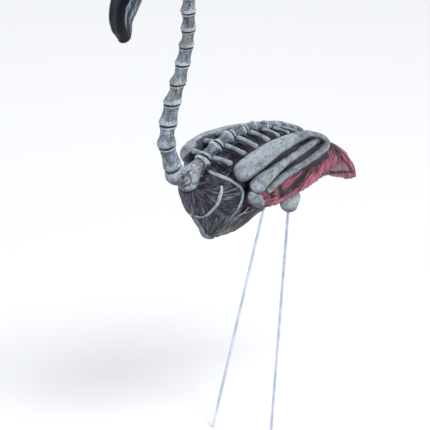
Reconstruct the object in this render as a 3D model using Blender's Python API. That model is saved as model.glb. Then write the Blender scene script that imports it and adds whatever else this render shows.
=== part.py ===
"""Skeleton-style flamingo lawn ornament: one painted moulding on two wire stakes.

Run with: blender --background --python part.py

The bird looks along -Y, its left side is +X and Z points up. The origin lies on the ground, midway between
the stakes' lower ends. The moulding's free form is laid out in modules, MODULES_IN_BODY of them to the
body's length. A place in the form is (side, back, up), counted in modules from the root of the neck.
"""

import math

import bmesh
import bpy
import numpy as np

# Driving sizes in metres
BODY_LENGTH = 0.442
NECK_ROOT_HEIGHT = 0.519
STAKE_DIAMETER = 0.005
SOCKET_DEPTH = 0.030
SOCKET_CLEARANCE = 0.0004
END_GAP = 0.0003

# Lean of the stakes, as run for each unit of drop
STAKE_SPLAY = 0.098
STAKE_FORWARD_LEAN = 0.226

# Counts of facets
MODULES_IN_BODY = 260
BODY_SIDES = 22
BODY_STATIONS = 24
WING_SIDES = 12
WING_STATIONS = 19
NECK_SIDES = 12
SPINE_SIDES = 10
BONE_SIDES = 9
SKULL_SIDES = 14
SKULL_STATIONS = 19
RIB_SIDES = 5
STAKE_SIDES = 16
KEEL_SIDES = 8
ROOT_BLOCK_SIDES = 8
HUMERUS_STATIONS = 20
ULNA_STATIONS = 10
WRIST_STATIONS = 3
KEEL_STATIONS = 10
OUTER_RIB_STATIONS = 13
INNER_RIB_STATIONS = 9
STEPS_IN_VERTEBRA = 20

MODULE = BODY_LENGTH / MODULES_IN_BODY

# Trunk: back, top, widest level, bottom, half width, roundness above and below the widest level
TRUNK = (
    (-4, -10, -15, -21, 8, 2.0, 2.0),
    (0, -7, -15, -29, 13, 2.0, 1.9),
    (8, -4, -16, -42, 20, 2.0, 1.8),
    (17, 0, -17, -56, 25.5, 2.0, 1.7),
    (29, 5, -18, -72, 30.5, 2.0, 1.6),
    (45, 11, -20, -76, 34, 2.5, 1.7),
    (62, 16, -22, -74, 36, 3.4, 1.8),
    (82, 18, -22, -66, 37, 3.8, 1.9),
    (102, 18, -22, -60.5, 36, 3.8, 2.0),
    (122, 15, -24, -59, 33.5, 3.4, 2.0),
    (142, 10, -26, -58, 30, 2.8, 2.0),
    (160, 4, -28, -56, 26.5, 2.2, 2.0),
    (178, -4, -32, -54.5, 23.5, 2.0, 2.0),
    (198, -15, -40, -55, 21, 2.0, 2.2),
    (216, -26, -50, -61.5, 18, 1.9, 2.4),
    (232, -39, -60, -69, 14, 1.8, 2.4),
    (243, -52, -66, -70.5, 9, 1.8, 2.4),
)
BREAST_POLE = (0, -6.5, -14)
TAIL_POLE = (0, 249, -67)

# Feathered panel of a wing: back, outer face, top, bottom, half thickness
WING_PANEL = (
    (52, 43, -19, -33.5, 6),
    (62, 45, -17, -38.5, 7),
    (80, 43.5, -18, -44.5, 8),
    (100, 40.5, -19, -47.2, 8),
    (124, 36.5, -20, -48.5, 8),
    (145, 32.5, -21, -47.6, 8),
    (160, 29, -22.5, -46.8, 8),
    (176, 25, -25, -46.2, 8),
    (196, 19, -29, -45.5, 7),
    (212, 13, -36, -43.5, 5),
)
WING_ROUNDNESS = 2.4
FEATHER_RIDGE = 1.3

# Bones of one wing: side, back, up, radius
HUMERUS = (
    (36, 42.6, 4, 10.5),
    (36, 52, 6.8, 11),
    (35, 66, 9.3, 10.5),
    (31, 91, 11.2, 9),
    (26, 117, 10, 7.6),
    (22, 142.4, 8, 5.2),
    (19.5, 156, 6.1, 4),
    (16.5, 170, 0.5, 3.4),
    (15.8, 182, -5.5, 3.6),
    (16.5, 189, -13, 3.8),
    (20.5, 179.5, -17.2, 3.8),
    (29, 145.3, -17.6, 3.8),
    (36, 116.6, -17, 4.0),
    (41, 93.3, -17.8, 3.8),
    (45, 70.5, -22.5, 3.0),
)
ULNA = (
    (44, 54.6, -12.6, 8.6),
    (43, 64, -10.2, 8.0),
    (40, 81, -7.6, 6.0),
    (35, 107.3, -4.2, 4.9),
    (29, 134.7, -4.0, 4.3),
    (22, 161, -5.0, 3.2),
    (18.5, 173, -6.0, 2.0),
)
WRIST = (
    (43, 50.5, -22.5, 6.4),
    (44, 53, -28, 7.2),
    (44.5, 56.5, -31, 5.4),
)

# Joints of the neck's vertebrae, root first, and on along the back: back, up, radius, heading in degrees
# The heading is square to the joint: 0 points straight back and 90 straight up
NECK_JOINTS = (
    (-8, 1, 9.8, 145),
    (-22, 19.3, 9.5, 128),
    (-31, 44.5, 9.8, 106),
    (-29.3, 66.2, 9.6, 91),
    (-23.3, 87, 9.3, 92),
    (-14.8, 106.2, 8.9, 95),
    (-7.6, 124.2, 8.2, 91),
    (-2.4, 141.7, 7.9, 91),
    (0.8, 158.8, 7.7, 98),
    (1, 177.6, 7.7, 94),
    (1.5, 194.5, 7.6, 96),
    (-0.8, 210.5, 7.6, 104),
    (-7.5, 223, 7.6, 125),
    (-19, 231, 7.6, 155),
)
BACK_JOINTS = (
    (-8, 1, 9.2, -35),
    (8, 0, 9.2, 45),
    (24, 13.7, 8.2, 37),
    (43, 21.5, 7.8, 26),
    (62, 26.5, 7.4, 14),
    (81, 28, 6.9, 3),
    (99, 26, 6.2, -9),
    (116, 22, 5.6, -14),
    (132, 17, 5.0, -18),
    (146, 11.5, 4.4, -22),
    (159, 5.5, 3.6, -27),
)
# One vertebra along its own length: share of the length, share of the radius, forward shift in modules
NECK_PROFILE = (
    (0.08, 1.00, 0.1),
    (0.26, 0.96, 0.8),
    (0.55, 0.79, 0.0),
    (0.90, 0.90, -0.2),
    (1.00, 0.78, 0.0),
)
FIRST_NECK_PROFILE = (
    (0.08, 1.00, 0.8),
    (0.30, 1.08, 2.4),
    (0.60, 1.12, 3.0),
    (0.90, 0.96, 1.6),
    (1.00, 0.80, 0.4),
)
BACK_PROFILE = (
    (0.10, 0.82, 0.0),
    (0.40, 0.76, 0.0),
    (0.70, 0.86, 0.0),
    (0.90, 1.00, 0.0),
    (1.00, 0.76, 0.0),
)

# Block where neck and back meet, from its top down: back, up, radius
ROOT_BLOCK = ((4, 3, 8.2), (1, -2, 9.2), (-1.5, -7, 8.6))

# Short ribs between spine and humerus: back at the spine, up at the spine, length to the side, drop, radius
BACK_RIBS = (
    (30, 14, 21, 2.5, 2.7),
    (49, 21.5, 22, 5, 2.8),
    (67, 25, 22, 6, 2.8),
    (87, 24.5, 20, 5, 2.7),
    (106, 22, 17, 4, 2.0),
    (123, 18.5, 15, 3, 1.9),
    (137, 15, 13, 2.5, 1.7),
)
BACK_RIB_START = 3
BACK_RIB_RUN = 6

# Rib arcs that lie on the trunk's side: back and up along each arc
OUTER_RIB = (
    (22, 2),
    (27, -1),
    (33, -5),
    (38, -9.5),
    (42, -15),
    (44, -21),
    (43.5, -28),
    (41.5, -35),
    (38.5, -42),
    (34, -47),
)
INNER_RIB = (
    (22, -9.5),
    (19, -17),
    (18, -22),
    (16.5, -28),
    (14.5, -33),
    (12.5, -39),
    (10.5, -42.5),
    (9, -43),
)
RIB_ARC_RADIUS = 1.9
INNER_RIB_RADIUS = 2.0
# Taper of an arc: share of its length and share of its radius
RIB_TAPER = ((0.0, 1.15), (0.25, 1.0), (1.0, 0.7))

# Keel of the breastbone: back, up, radius
KEEL = (
    (8, -40, 1.8),
    (13, -46.5, 3),
    (18.5, -57, 3),
    (23.5, -66.5, 3.2),
    (28.5, -70, 4.2),
    (36, -74, 2.6),
)

# Skull and bill in the middle plane: back, up, half depth, half width
SKULL = (
    (-12, 228, 9, 9),
    (-18, 232, 14.5, 13.5),
    (-27, 235.5, 17, 15.5),
    (-37, 236, 15.5, 14),
    (-47, 235.5, 12.5, 10.5),
    (-60, 235, 13.5, 9.8),
    (-74, 232, 16, 10.3),
    (-86, 225, 17.5, 10.6),
    (-94, 214.5, 17.5, 10.4),
    (-98, 203, 15.8, 9.6),
    (-98, 194.4, 13.4, 8.4),
    (-96.9, 187.4, 11.4, 7.4),
    (-95.5, 180, 7.4, 5.4),
)
EYE_SOCKET = (15.5, -31, 238.5)
EYE_SOCKET_RADIUS = 6.5

# Hollow under the tail's feathers, as corners of side, back and up, and its depth
TAIL_HOLLOW = ((19.5, 187, -46), (15.5, 215, -43.5), (11, 235, -60))
TAIL_HOLLOW_DEPTH = 4

# Hip knob that takes a stake: half spacing, back, level of the knob's middle, radius, half height
HIP_SIDE = 14.5
HIP_BACK = 135.8
HIP_UP = -58
HIP_RADIUS = 11
HIP_HALF_HEIGHT = 5
HIP_TAPER = 0.12

# Domed end of a bar: rise and width of its ring as shares of the bar's radius
DOME_RISE = 0.62
DOME_RIM = 0.78


def clear_scene() -> None:
    """Remove every object that the opened file holds."""
    for item in list(bpy.data.objects):
        bpy.data.objects.remove(item, do_unlink=True)


def drop_to_ground() -> float:
    """Height of a stake's axis point inside the hip knob over the ground."""
    return NECK_ROOT_HEIGHT + HIP_UP * MODULE


def place(side, back, up) -> np.ndarray:
    """World place in metres of a point of the form given in modules."""
    tips_back = HIP_BACK * MODULE - STAKE_FORWARD_LEAN * drop_to_ground()
    return np.stack(
        [
            np.asarray(side, float) * MODULE,
            np.asarray(back, float) * MODULE - tips_back,
            np.asarray(up, float) * MODULE + NECK_ROOT_HEIGHT,
        ],
        axis=-1,
    )


def smooth_rows(rows, count) -> np.ndarray:
    """Catmull-Rom curve through the rows, read at evenly spaced steps."""
    rows = np.asarray(rows, float)
    ends = np.vstack([2 * rows[0] - rows[1], rows, 2 * rows[-1] - rows[-2]])
    steps = np.linspace(0, len(rows) - 1, count)
    first = np.minimum(steps.astype(int), len(rows) - 2)
    t = (steps - first)[:, None]
    a, b, c, d = (ends[first + k] for k in range(4))
    return 0.5 * (2 * b + (c - a) * t + (2 * a - 5 * b + 4 * c - d) * t**2 + (3 * b - a - 3 * c + d) * t**3)


def material(name, colour, roughness, metallic=0.0) -> bpy.types.Material:
    """Plain finish for one sub-part."""
    made = bpy.data.materials.new(name)
    made.use_nodes = True
    shader = made.node_tree.nodes["Principled BSDF"]
    shader.inputs["Base Color"].default_value = (*colour, 1.0)
    shader.inputs["Roughness"].default_value = roughness
    shader.inputs["Metallic"].default_value = metallic
    made.diffuse_color = (*colour, 1.0)
    return made


def skin(name, rings, first_pole, last_pole) -> bpy.types.Object:
    """Closed surface over rings of equal count, with a pole vertex at each end."""
    rings = np.asarray(rings, float)
    count, sides = rings.shape[:2]
    bm = bmesh.new()
    rows = [[bm.verts.new(point) for point in ring] for ring in rings]
    for low, high in zip(rows[:-1], rows[1:]):
        for k in range(sides):
            bm.faces.new((low[k], low[(k + 1) % sides], high[(k + 1) % sides], high[k]))
    for row, pole in ((rows[0], bm.verts.new(first_pole)), (rows[-1], bm.verts.new(last_pole))):
        for k in range(sides):
            bm.faces.new((row[k], row[(k + 1) % sides], pole))
    bmesh.ops.recalc_face_normals(bm, faces=bm.faces)
    mesh = bpy.data.meshes.new(name)
    bm.to_mesh(mesh)
    bm.free()
    made = bpy.data.objects.new(name, mesh)
    bpy.context.collection.objects.link(made)
    return made


def sweep(name, places, widths, depths, sides, reference, headings=None) -> bpy.types.Object:
    """Rounded bar along places in metres, with elliptic sections and domed ends.

    The sections stand square to the path, or to the headings where these are given.
    """
    places = np.asarray(places, float)
    tangents = np.gradient(places, axis=0)
    tangents /= np.linalg.norm(tangents, axis=1, keepdims=True)
    square = tangents if headings is None else headings
    across = np.asarray(reference, float) - square * (square @ np.asarray(reference, float))[:, None]
    across /= np.linalg.norm(across, axis=1, keepdims=True)
    normals = np.cross(square, across)
    turn = 2 * math.pi * np.arange(sides) / sides
    widths = np.asarray(widths, float)
    depths = np.asarray(depths, float)

    def ring(index, shift, share):
        centre = places[index] + square[index] * shift
        return (
            centre
            + across[index] * (np.cos(turn) * widths[index] * share)[:, None]
            + normals[index] * (np.sin(turn) * depths[index] * share)[:, None]
        )

    small = np.minimum(widths, depths)
    rings = [ring(0, -DOME_RISE * small[0], DOME_RIM)]
    rings += [ring(k, 0.0, 1.0) for k in range(len(places))]
    rings += [ring(len(places) - 1, DOME_RISE * small[-1], DOME_RIM)]
    return skin(name, rings, places[0] - square[0] * small[0], places[-1] + square[-1] * small[-1])


def trunk_half_width(back, up) -> np.ndarray:
    """Side of the trunk's skin at a place given by back and up, in modules."""
    table = np.asarray(TRUNK, float)
    columns = (np.interp(back, table[:, 0], table[:, k]) for k in range(1, 7))
    top, middle, bottom, half, above, below = columns
    up = np.asarray(up, float)
    reach = np.where(up > middle, (up - middle) / (top - middle), (middle - up) / (middle - bottom))
    power = np.where(up > middle, above, below)
    return half * (1 - np.clip(reach, 0, 1) ** power) ** (1 / power)


def trunk() -> bpy.types.Object:
    """Breast, belly and tail as one loft of rounded sections."""
    turn = 2 * math.pi * np.arange(BODY_SIDES) / BODY_SIDES
    rings = []
    for back, top, middle, bottom, half, above, below in smooth_rows(TRUNK, BODY_STATIONS):
        power = np.where(np.sin(turn) > 0, above, below)
        side = half * np.sign(np.cos(turn)) * np.abs(np.cos(turn)) ** (2 / power)
        height = np.where(np.sin(turn) > 0, top - middle, middle - bottom)
        up = middle + height * np.sign(np.sin(turn)) * np.abs(np.sin(turn)) ** (2 / power)
        rings.append(place(side, np.full(BODY_SIDES, back), up))
    return skin("flamingo_figure", rings, place(*BREAST_POLE), place(*TAIL_POLE))


def wing_panel(name, hand) -> bpy.types.Object:
    """Feathered panel over the flank; hand is 1 on the left and -1 on the right."""
    turn = 2 * math.pi * np.arange(WING_SIDES) / WING_SIDES
    rings = []
    for index, (back, outer, top, bottom, half) in enumerate(smooth_rows(WING_PANEL, WING_STATIONS)):
        outer -= FEATHER_RIDGE * (index % 2)
        bottom += FEATHER_RIDGE * (index % 2)
        bulge = np.sign(np.cos(turn)) * np.abs(np.cos(turn)) ** (2 / WING_ROUNDNESS)
        rise = np.sign(np.sin(turn)) * np.abs(np.sin(turn)) ** (2 / WING_ROUNDNESS)
        side = hand * (outer - half + half * bulge)
        rings.append(place(side, np.full(WING_SIDES, back), (top + bottom) / 2 + (top - bottom) / 2 * rise))
    first, last = WING_PANEL[0], WING_PANEL[-1]
    return skin(
        name,
        rings,
        place(hand * (first[1] - first[4]), first[0] - 4, (first[2] + first[3]) / 2),
        place(hand * (last[1] - last[4]), last[0] + 6, (last[2] + last[3]) / 2),
    )


def bone(name, rows, hand, count) -> bpy.types.Object:
    """Long bone through rows of side, back, up and radius."""
    side, back, up, radius = smooth_rows(rows, count).T
    girth = radius * MODULE
    return sweep(name, place(hand * side, back, up), girth, girth, BONE_SIDES, (1, 0, 0))


def vertebrae(name, joints, first_profile, profile, sides) -> bpy.types.Object:
    """Chain of spool-shaped vertebrae in the middle plane, from joint to joint."""
    last = len(joints) - 1
    fine = smooth_rows(joints, last * STEPS_IN_VERTEBRA + 1)
    rows = [(*fine[0], 0.0)]
    for index in range(last):
        for share, girth, shift in profile if index else first_profile:
            back, up, radius, heading = fine[round((index + share) * STEPS_IN_VERTEBRA)]
            rows.append((back, up, radius * girth, heading, shift))
    back, up, radius, heading, shift = np.array(rows).T
    angle = np.radians(heading)
    headings = np.stack([0 * angle, np.cos(angle), np.sin(angle)], axis=-1)
    shift = shift * np.sin(angle)
    places = place(np.zeros(len(rows)), back - shift * np.sin(angle), up + shift * np.cos(angle))
    return sweep(name, places, radius * MODULE, radius * MODULE, sides, (1, 0, 0), headings)


def back_ribs() -> list:
    """Short ribs that run out from the spine to the wing bones, both sides."""
    made = []
    for number, (back, up, length, drop, radius) in enumerate(BACK_RIBS, 1):
        for side_name, hand in (("left", 1), ("right", -1)):
            share = np.linspace(0, 1, 4)
            side = hand * (BACK_RIB_START + length * share)
            places = place(side, back + BACK_RIB_RUN * share, up - drop * share**2)
            girth = radius * MODULE * (1.0 - 0.15 * share)
            made.append(sweep(f"rib_{side_name}_{number}", places, girth, girth, RIB_SIDES, (0, 0, 1)))
    return made


def rib_arcs() -> list:
    """Long ribs that lie half sunk in the trunk's side."""
    made = []
    for title, rows, radius, count in (
        ("outer", OUTER_RIB, RIB_ARC_RADIUS, OUTER_RIB_STATIONS),
        ("inner", INNER_RIB, INNER_RIB_RADIUS, INNER_RIB_STATIONS),
    ):
        back, up = smooth_rows(rows, count).T
        side = trunk_half_width(back, up)
        taper = radius * MODULE * np.interp(np.linspace(0, 1, count), *np.transpose(RIB_TAPER))
        for side_name, hand in (("left", 1), ("right", -1)):
            places = place(hand * side, back, up)
            made.append(sweep(f"{title}_arc_{side_name}", places, taper, taper, RIB_SIDES, (1, 0.2, 0)))
    return made


def keel() -> bpy.types.Object:
    """Pale edge of the breastbone down the middle of the breast."""
    back, up, radius = smooth_rows(KEEL, KEEL_STATIONS).T
    girth = radius * MODULE
    return sweep("keel", place(0 * back, back, up), girth, girth, KEEL_SIDES, (1, 0, 0))


def root_block() -> bpy.types.Object:
    """Upright block under the first vertebrae."""
    back, up, radius = np.transpose(ROOT_BLOCK)
    girth = radius * MODULE
    return sweep("root_block", place(0 * back, back, up), girth, girth, ROOT_BLOCK_SIDES, (1, 0, 0))


def skull() -> bpy.types.Object:
    """Skull and bent bill as one bar with elliptic sections."""
    back, up, depth, width = smooth_rows(SKULL, SKULL_STATIONS).T
    return sweep("skull", place(0 * back, back, up), width * MODULE, depth * MODULE, SKULL_SIDES, (1, 0, 0))


def eye_cutter(name, hand) -> bpy.types.Object:
    """Ball that hollows one eye socket out of the skull."""
    side, back, up = EYE_SOCKET
    share = np.linspace(-0.5, 0.5, 4)
    swell = EYE_SOCKET_RADIUS * MODULE * np.sqrt(1 - share**2)
    places = place(hand * (side + EYE_SOCKET_RADIUS * share), back + 0 * share, up + 0 * share)
    return sweep(name, places, swell, swell, BONE_SIDES, (0, 0, 1))


def tail_cutter(name, hand) -> bpy.types.Object:
    """Three-sided wedge that sinks the tail's flank below its upper feathers."""
    corners = np.array(TAIL_HOLLOW, float) * (hand, 1, 1)
    shift = np.array([hand * TAIL_HOLLOW_DEPTH, 0, 0])
    rings = [place(*(corners - shift).T), place(*(corners + 3 * shift).T)]
    return skin(name, rings, rings[0].mean(axis=0), rings[1].mean(axis=0))


def stake_direction(hand) -> np.ndarray:
    """Unit vector down along a stake."""
    run = np.array([hand * STAKE_SPLAY, -STAKE_FORWARD_LEAN, -1.0])
    return run / np.linalg.norm(run)


def hip(name, hand) -> bpy.types.Object:
    """Knob under the body that holds a stake."""
    centre = place(hand * HIP_SIDE, HIP_BACK, HIP_UP)
    down = stake_direction(hand)
    share = np.linspace(-1, 1, 5)[:, None]
    places = centre + down * share * HIP_HALF_HEIGHT * MODULE
    girth = HIP_RADIUS * MODULE * (1 - HIP_TAPER * share[:, 0] ** 2)
    return sweep(name, places, girth, girth, BONE_SIDES, (1, 0, 0))


def rod(name, start, end, radius, sides) -> bpy.types.Object:
    """Straight round rod with square-cut ends."""
    start, end = np.asarray(start), np.asarray(end)
    along = (end - start) / np.linalg.norm(end - start)
    across = np.cross(along, (0, 1, 0))
    across /= np.linalg.norm(across)
    turn = 2 * math.pi * np.arange(sides) / sides
    circle = radius * (
        np.cos(turn)[:, None] * across + np.sin(turn)[:, None] * np.cross(along, across)
    )
    bm = bmesh.new()
    first = [bm.verts.new(start + point) for point in circle]
    last = [bm.verts.new(end + point) for point in circle]
    bm.faces.new(first)
    bm.faces.new(last)
    for k in range(sides):
        bm.faces.new((first[k], first[(k + 1) % sides], last[(k + 1) % sides], last[k]))
    bmesh.ops.recalc_face_normals(bm, faces=bm.faces)
    mesh = bpy.data.meshes.new(name)
    bm.to_mesh(mesh)
    bm.free()
    made = bpy.data.objects.new(name, mesh)
    bpy.context.collection.objects.link(made)
    return made


def stake_ends(hand) -> tuple:
    """Upper and lower end of a stake's axis; the lower end's middle is on the ground."""
    entry = place(hand * HIP_SIDE, HIP_BACK, HIP_UP)
    down = stake_direction(hand)
    lower = entry + down * (entry[2] / -down[2])
    knob_bottom = entry + down * (HIP_HALF_HEIGHT + HIP_RADIUS * (1 - HIP_TAPER)) * MODULE
    upper = knob_bottom - down * SOCKET_DEPTH
    return upper, lower


def stake(name, hand) -> bpy.types.Object:
    """Wire stake from its hip knob to the ground."""
    upper, lower = stake_ends(hand)
    made = rod(name, upper, lower, STAKE_DIAMETER / 2, STAKE_SIDES)
    made.data.materials.append(material(name + "_steel", (0.62, 0.68, 0.75), 0.3, 1.0))
    return made


def socket_cutter(name, hand) -> bpy.types.Object:
    """Bore in a hip knob, with clearance round the stake and at its end."""
    upper, _ = stake_ends(hand)
    down = stake_direction(hand)
    mouth = upper + down * (SOCKET_DEPTH + HIP_RADIUS * MODULE)
    return rod(name, upper - down * END_GAP, mouth, STAKE_DIAMETER / 2 + SOCKET_CLEARANCE, STAKE_SIDES)


def combine(base, parts, operation, title) -> None:
    """Add or cut parts on the base with one exact Boolean over a collection of guides."""
    group = bpy.data.collections.new(title)
    bpy.context.scene.collection.children.link(group)
    for part in parts:
        for owner in list(part.users_collection):
            owner.objects.unlink(part)
        group.objects.link(part)
        part.hide_render = True
        part.display_type = "WIRE"
    change = base.modifiers.new(title, "BOOLEAN")
    change.operation = operation
    change.solver = "EXACT"
    change.operand_type = "COLLECTION"
    change.collection = group


def figure() -> bpy.types.Object:
    """The whole moulding: trunk, wings, bones, neck, skull and hip knobs."""
    base = trunk()
    base.data.materials.append(material("painted_moulding", (0.36, 0.40, 0.38), 0.55))
    parts = [
        vertebrae("neck", NECK_JOINTS, FIRST_NECK_PROFILE, NECK_PROFILE, NECK_SIDES),
        vertebrae("spine", BACK_JOINTS, BACK_PROFILE, BACK_PROFILE, SPINE_SIDES),
        keel(),
        root_block(),
        skull(),
        *back_ribs(),
        *rib_arcs(),
    ]
    for side_name, hand in (("left", 1), ("right", -1)):
        parts += [
            wing_panel(f"wing_{side_name}", hand),
            bone(f"humerus_{side_name}", HUMERUS, hand, HUMERUS_STATIONS),
            bone(f"ulna_{side_name}", ULNA, hand, ULNA_STATIONS),
            bone(f"wrist_{side_name}", WRIST, hand, WRIST_STATIONS),
            hip(f"hip_{side_name}", hand),
        ]
    combine(base, parts, "UNION", "forms")
    cutters = [socket_cutter(f"socket_{hand}", hand) for hand in (1, -1)]
    cutters += [eye_cutter(f"eye_{hand}", hand) for hand in (1, -1)]
    cutters += [tail_cutter(f"tail_hollow_{hand}", hand) for hand in (1, -1)]
    combine(base, cutters, "DIFFERENCE", "hollows")
    return base


def main() -> None:
    """Model the ornament."""
    clear_scene()
    figure()
    stake("left_stake", 1)
    stake("right_stake", -1)


if __name__ == "__main__":
    main()
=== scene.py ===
"""Looks of a skeleton-style flamingo lawn ornament on two wire stakes.

The bird is one painted moulding. Its forms are surfaces worked out with numpy in modules, the unit in
which the frame's figure is laid out, then united into one closed skin that keeps each form's paint. A place
in the form is (side, back, up), counted in modules from the root of the neck.
"""

import logging
import math

from collections.abc import Sequence
from dataclasses import dataclass, field
from enum import Enum, IntEnum

import bpy
import numpy as np
from mathutils import Matrix, Vector


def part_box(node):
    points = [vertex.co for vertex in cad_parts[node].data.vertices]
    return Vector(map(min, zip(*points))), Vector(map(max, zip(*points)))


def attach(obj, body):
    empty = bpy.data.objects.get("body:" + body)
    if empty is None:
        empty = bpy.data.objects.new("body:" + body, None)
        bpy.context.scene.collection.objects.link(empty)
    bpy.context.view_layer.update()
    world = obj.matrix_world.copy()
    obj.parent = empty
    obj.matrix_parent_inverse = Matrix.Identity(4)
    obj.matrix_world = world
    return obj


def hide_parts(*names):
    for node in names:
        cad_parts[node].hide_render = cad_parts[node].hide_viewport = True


LOG = logging.getLogger("flamingo")

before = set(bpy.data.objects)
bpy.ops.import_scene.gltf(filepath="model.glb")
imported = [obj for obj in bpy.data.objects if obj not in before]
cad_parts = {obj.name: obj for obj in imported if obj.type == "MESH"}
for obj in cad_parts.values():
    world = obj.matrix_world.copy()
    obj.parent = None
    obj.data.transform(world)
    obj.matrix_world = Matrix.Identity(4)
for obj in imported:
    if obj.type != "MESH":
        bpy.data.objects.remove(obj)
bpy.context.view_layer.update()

Rows = Sequence[Sequence[float]]
Triple = tuple[float, float, float]
Materials = Sequence[bpy.types.Material]
Socket = bpy.types.NodeSocket


class Paint(IntEnum):
    """Material slot of each painted part of the moulding."""

    BONE = 0
    SKIN = 1
    BILL = 2


class Hand(Enum):
    """Side of the bird, as the sign of X."""

    LEFT = 1
    RIGHT = -1

    @property
    def title(self) -> str:
        """Word for the side, for the names of forms."""
        return self.name.lower()

    @property
    def flip(self) -> np.ndarray:
        """Factors that carry a place of the left side to this one."""
        return np.array([self.value, 1, 1])


class Seed(IntEnum):
    """Start of each run of noise, so that no two patterns are alike."""

    FLESH = 11
    TAIL_BARBS = 23
    WING_BARBS = 31
    RAGGED_EDGE = 47
    WING_GRAIN = 61
    WING_PITS = 67
    WING_LUMPS = 71
    WING_CREASES = 73
    SPINE_LUMPS = 83
    SPINE_STREAKS = 85
    SPINE_PITS = 89
    BLOCK_LUMPS = 91
    BLOCK_PITS = 93
    SPINE_NICKS = 97
    RIB_GRAIN = 101
    ARC_GRAIN = 107
    KEEL_LUMPS = 109
    SKULL_LUMPS = 113
    HIP_LUMPS = 127


@dataclass(frozen=True)
class Layout:
    """Places the modules of the form in the frame, from the box of the figure's node.

    Attributes:
        rise: height of the figure from keel to crown, in modules.
        root_above_keel: height of the neck's root over the lowest point of the keel.
        root_behind_bill: distance from the front of the bill back to the neck's root.
    """

    rise: float = 328.406
    root_above_keel: float = 76.543
    root_behind_bill: float = 112.959

    def module(self) -> float:
        """Length of one module in metres."""
        low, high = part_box("flamingo_figure")
        return (high.z - low.z) / self.rise

    def place(self, points: np.ndarray) -> np.ndarray:
        """World places in metres of points given in modules."""
        low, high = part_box("flamingo_figure")
        unit = self.module()
        middle = (low.x + high.x) / 2
        root = np.array([middle, low.y + self.root_behind_bill * unit, low.z + self.root_above_keel * unit])
        return root + np.asarray(points, float) * unit


@dataclass(frozen=True)
class Chart:
    """Flat chart of the flank: the bird's side seen from its front corner and a little above.

    Across grows towards the tail and down grows towards the ground. Both flanks share the chart, so a
    stroke laid out once lies on both.
    """

    side_across: float = 0.741
    back_across: float = 0.672
    side_down: float = 0.252
    back_down: float = -0.278
    up_down: float = -0.927

    def across(self, points: np.ndarray) -> np.ndarray:
        """Chart coordinate towards the tail."""
        return self.side_across * np.abs(points[..., 0]) + self.back_across * points[..., 1]

    def down(self, points: np.ndarray) -> np.ndarray:
        """Chart coordinate towards the ground."""
        return (
            self.side_down * np.abs(points[..., 0])
            + self.back_down * points[..., 1]
            + self.up_down * points[..., 2]
        )


LAYOUT = Layout()
CHART = Chart()
# Masks on the forms. The first is dark paint in pits, cracks and gaps, plus painted shade in hollows, under
# the wing and on shaded sides; below 0 it lightens.
MASKS = ("wash_and_shade", "stroke", "feather", "belly", "lower")
EYE_FORM = 90
BORE_FORM = 91


# Numbers and noise


def ramp(value: np.ndarray, low: float, high: float) -> np.ndarray:
    """Smooth step: 0 at low, 1 at high, with level ends."""
    share = np.clip((np.asarray(value, float) - low) / (high - low), 0, 1)
    return share * share * (3 - 2 * share)


def window(value: np.ndarray, low: float, full: float, fades: float, gone: float) -> np.ndarray:
    """Smooth rise from 0 at low to 1 at full, and fall from 1 at fades to 0 at gone."""
    return ramp(value, low, full) * (1 - ramp(value, fades, gone))


def bump(value: np.ndarray, middle: float, width: float) -> np.ndarray:
    """Bell curve of height 1 around the middle."""
    return np.exp(-(((np.asarray(value, float) - middle) / width) ** 2))


def lattice(cell: np.ndarray, seed: int) -> np.ndarray:
    """Repeatable number from 0 to 1 for each whole-numbered cell, by mixing its three counts."""
    cell = cell.astype(np.int64)
    mixed = cell[..., 0] * 374761393 + cell[..., 1] * 668265263 + cell[..., 2] * 974711 + seed * 69069
    mixed = (mixed ^ (mixed >> 13)) * 1274126177 & 0xFFFFFFFF
    return ((mixed ^ (mixed >> 16)) & 0xFFFF) / 65535.0


def noise(points: np.ndarray, seed: int) -> np.ndarray:
    """Smooth value noise from -1 to 1: cell numbers blended by cubic weights in three directions."""
    points = np.asarray(points, float)
    floor = np.floor(points)
    share = points - floor
    share = share * share * (3 - 2 * share)
    total = np.zeros(points.shape[:-1])
    for corner in np.ndindex(2, 2, 2):
        weight = np.prod(np.where(np.array(corner) == 1, share, 1 - share), axis=-1)
        total += weight * lattice(floor + np.array(corner), seed)
    return 2 * total - 1


def stretched(points: np.ndarray, scales: Sequence[float], seed: int, octaves: int = 2) -> np.ndarray:
    """Noise with its own scale in each direction, summed over octaves of half the size and height."""
    total = np.zeros(np.asarray(points).shape[:-1])
    for octave in range(octaves):
        total += noise(points * np.array(scales) * 2**octave, seed + octave) * 0.5**octave
    return total


def signed_power(value: np.ndarray, power: np.ndarray | float) -> np.ndarray:
    """Power of the size of a sine or cosine, with its sign kept, for rounder or squarer ellipses."""
    return np.sign(value) * np.abs(value) ** power


def turns(columns: int) -> np.ndarray:
    """Angle of each column of a ring, one by columns."""
    return (2 * math.pi * np.arange(columns) / columns)[None, :]


def midline(back: np.ndarray, up: np.ndarray) -> np.ndarray:
    """Places in the bird's middle plane."""
    return np.stack([np.zeros_like(back), back, up], axis=-1)


def read_vectors(items: bpy.types.bpy_prop_collection, title: str) -> np.ndarray:
    """Vectors stored on the items of a mesh, rows by three."""
    flat = np.empty(len(items) * 3, np.float32)
    items.foreach_get(title, flat)
    return flat.reshape(-1, 3).astype(float)


def placed(name: str, data: bpy.types.ID) -> bpy.types.Object:
    """New object with the data, linked to the scene."""
    made = bpy.data.objects.new(name, data)
    bpy.context.collection.objects.link(made)
    return made


def smooth_rows(rows: Rows, steps: np.ndarray) -> np.ndarray:
    """Catmull-Rom curve through the rows, read at steps counted in rows."""
    table = np.asarray(rows, float)
    ends = np.vstack([2 * table[0] - table[1], table, 2 * table[-1] - table[-2]])
    first = np.clip(np.floor(steps).astype(int), 0, len(table) - 2)
    t = (steps - first)[:, None]
    a, b, c, d = (ends[first + k] for k in range(4))
    return 0.5 * (2 * b + (c - a) * t + (2 * a - 5 * b + 4 * c - d) * t**2 + (3 * b - a - 3 * c + d) * t**3)


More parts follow.
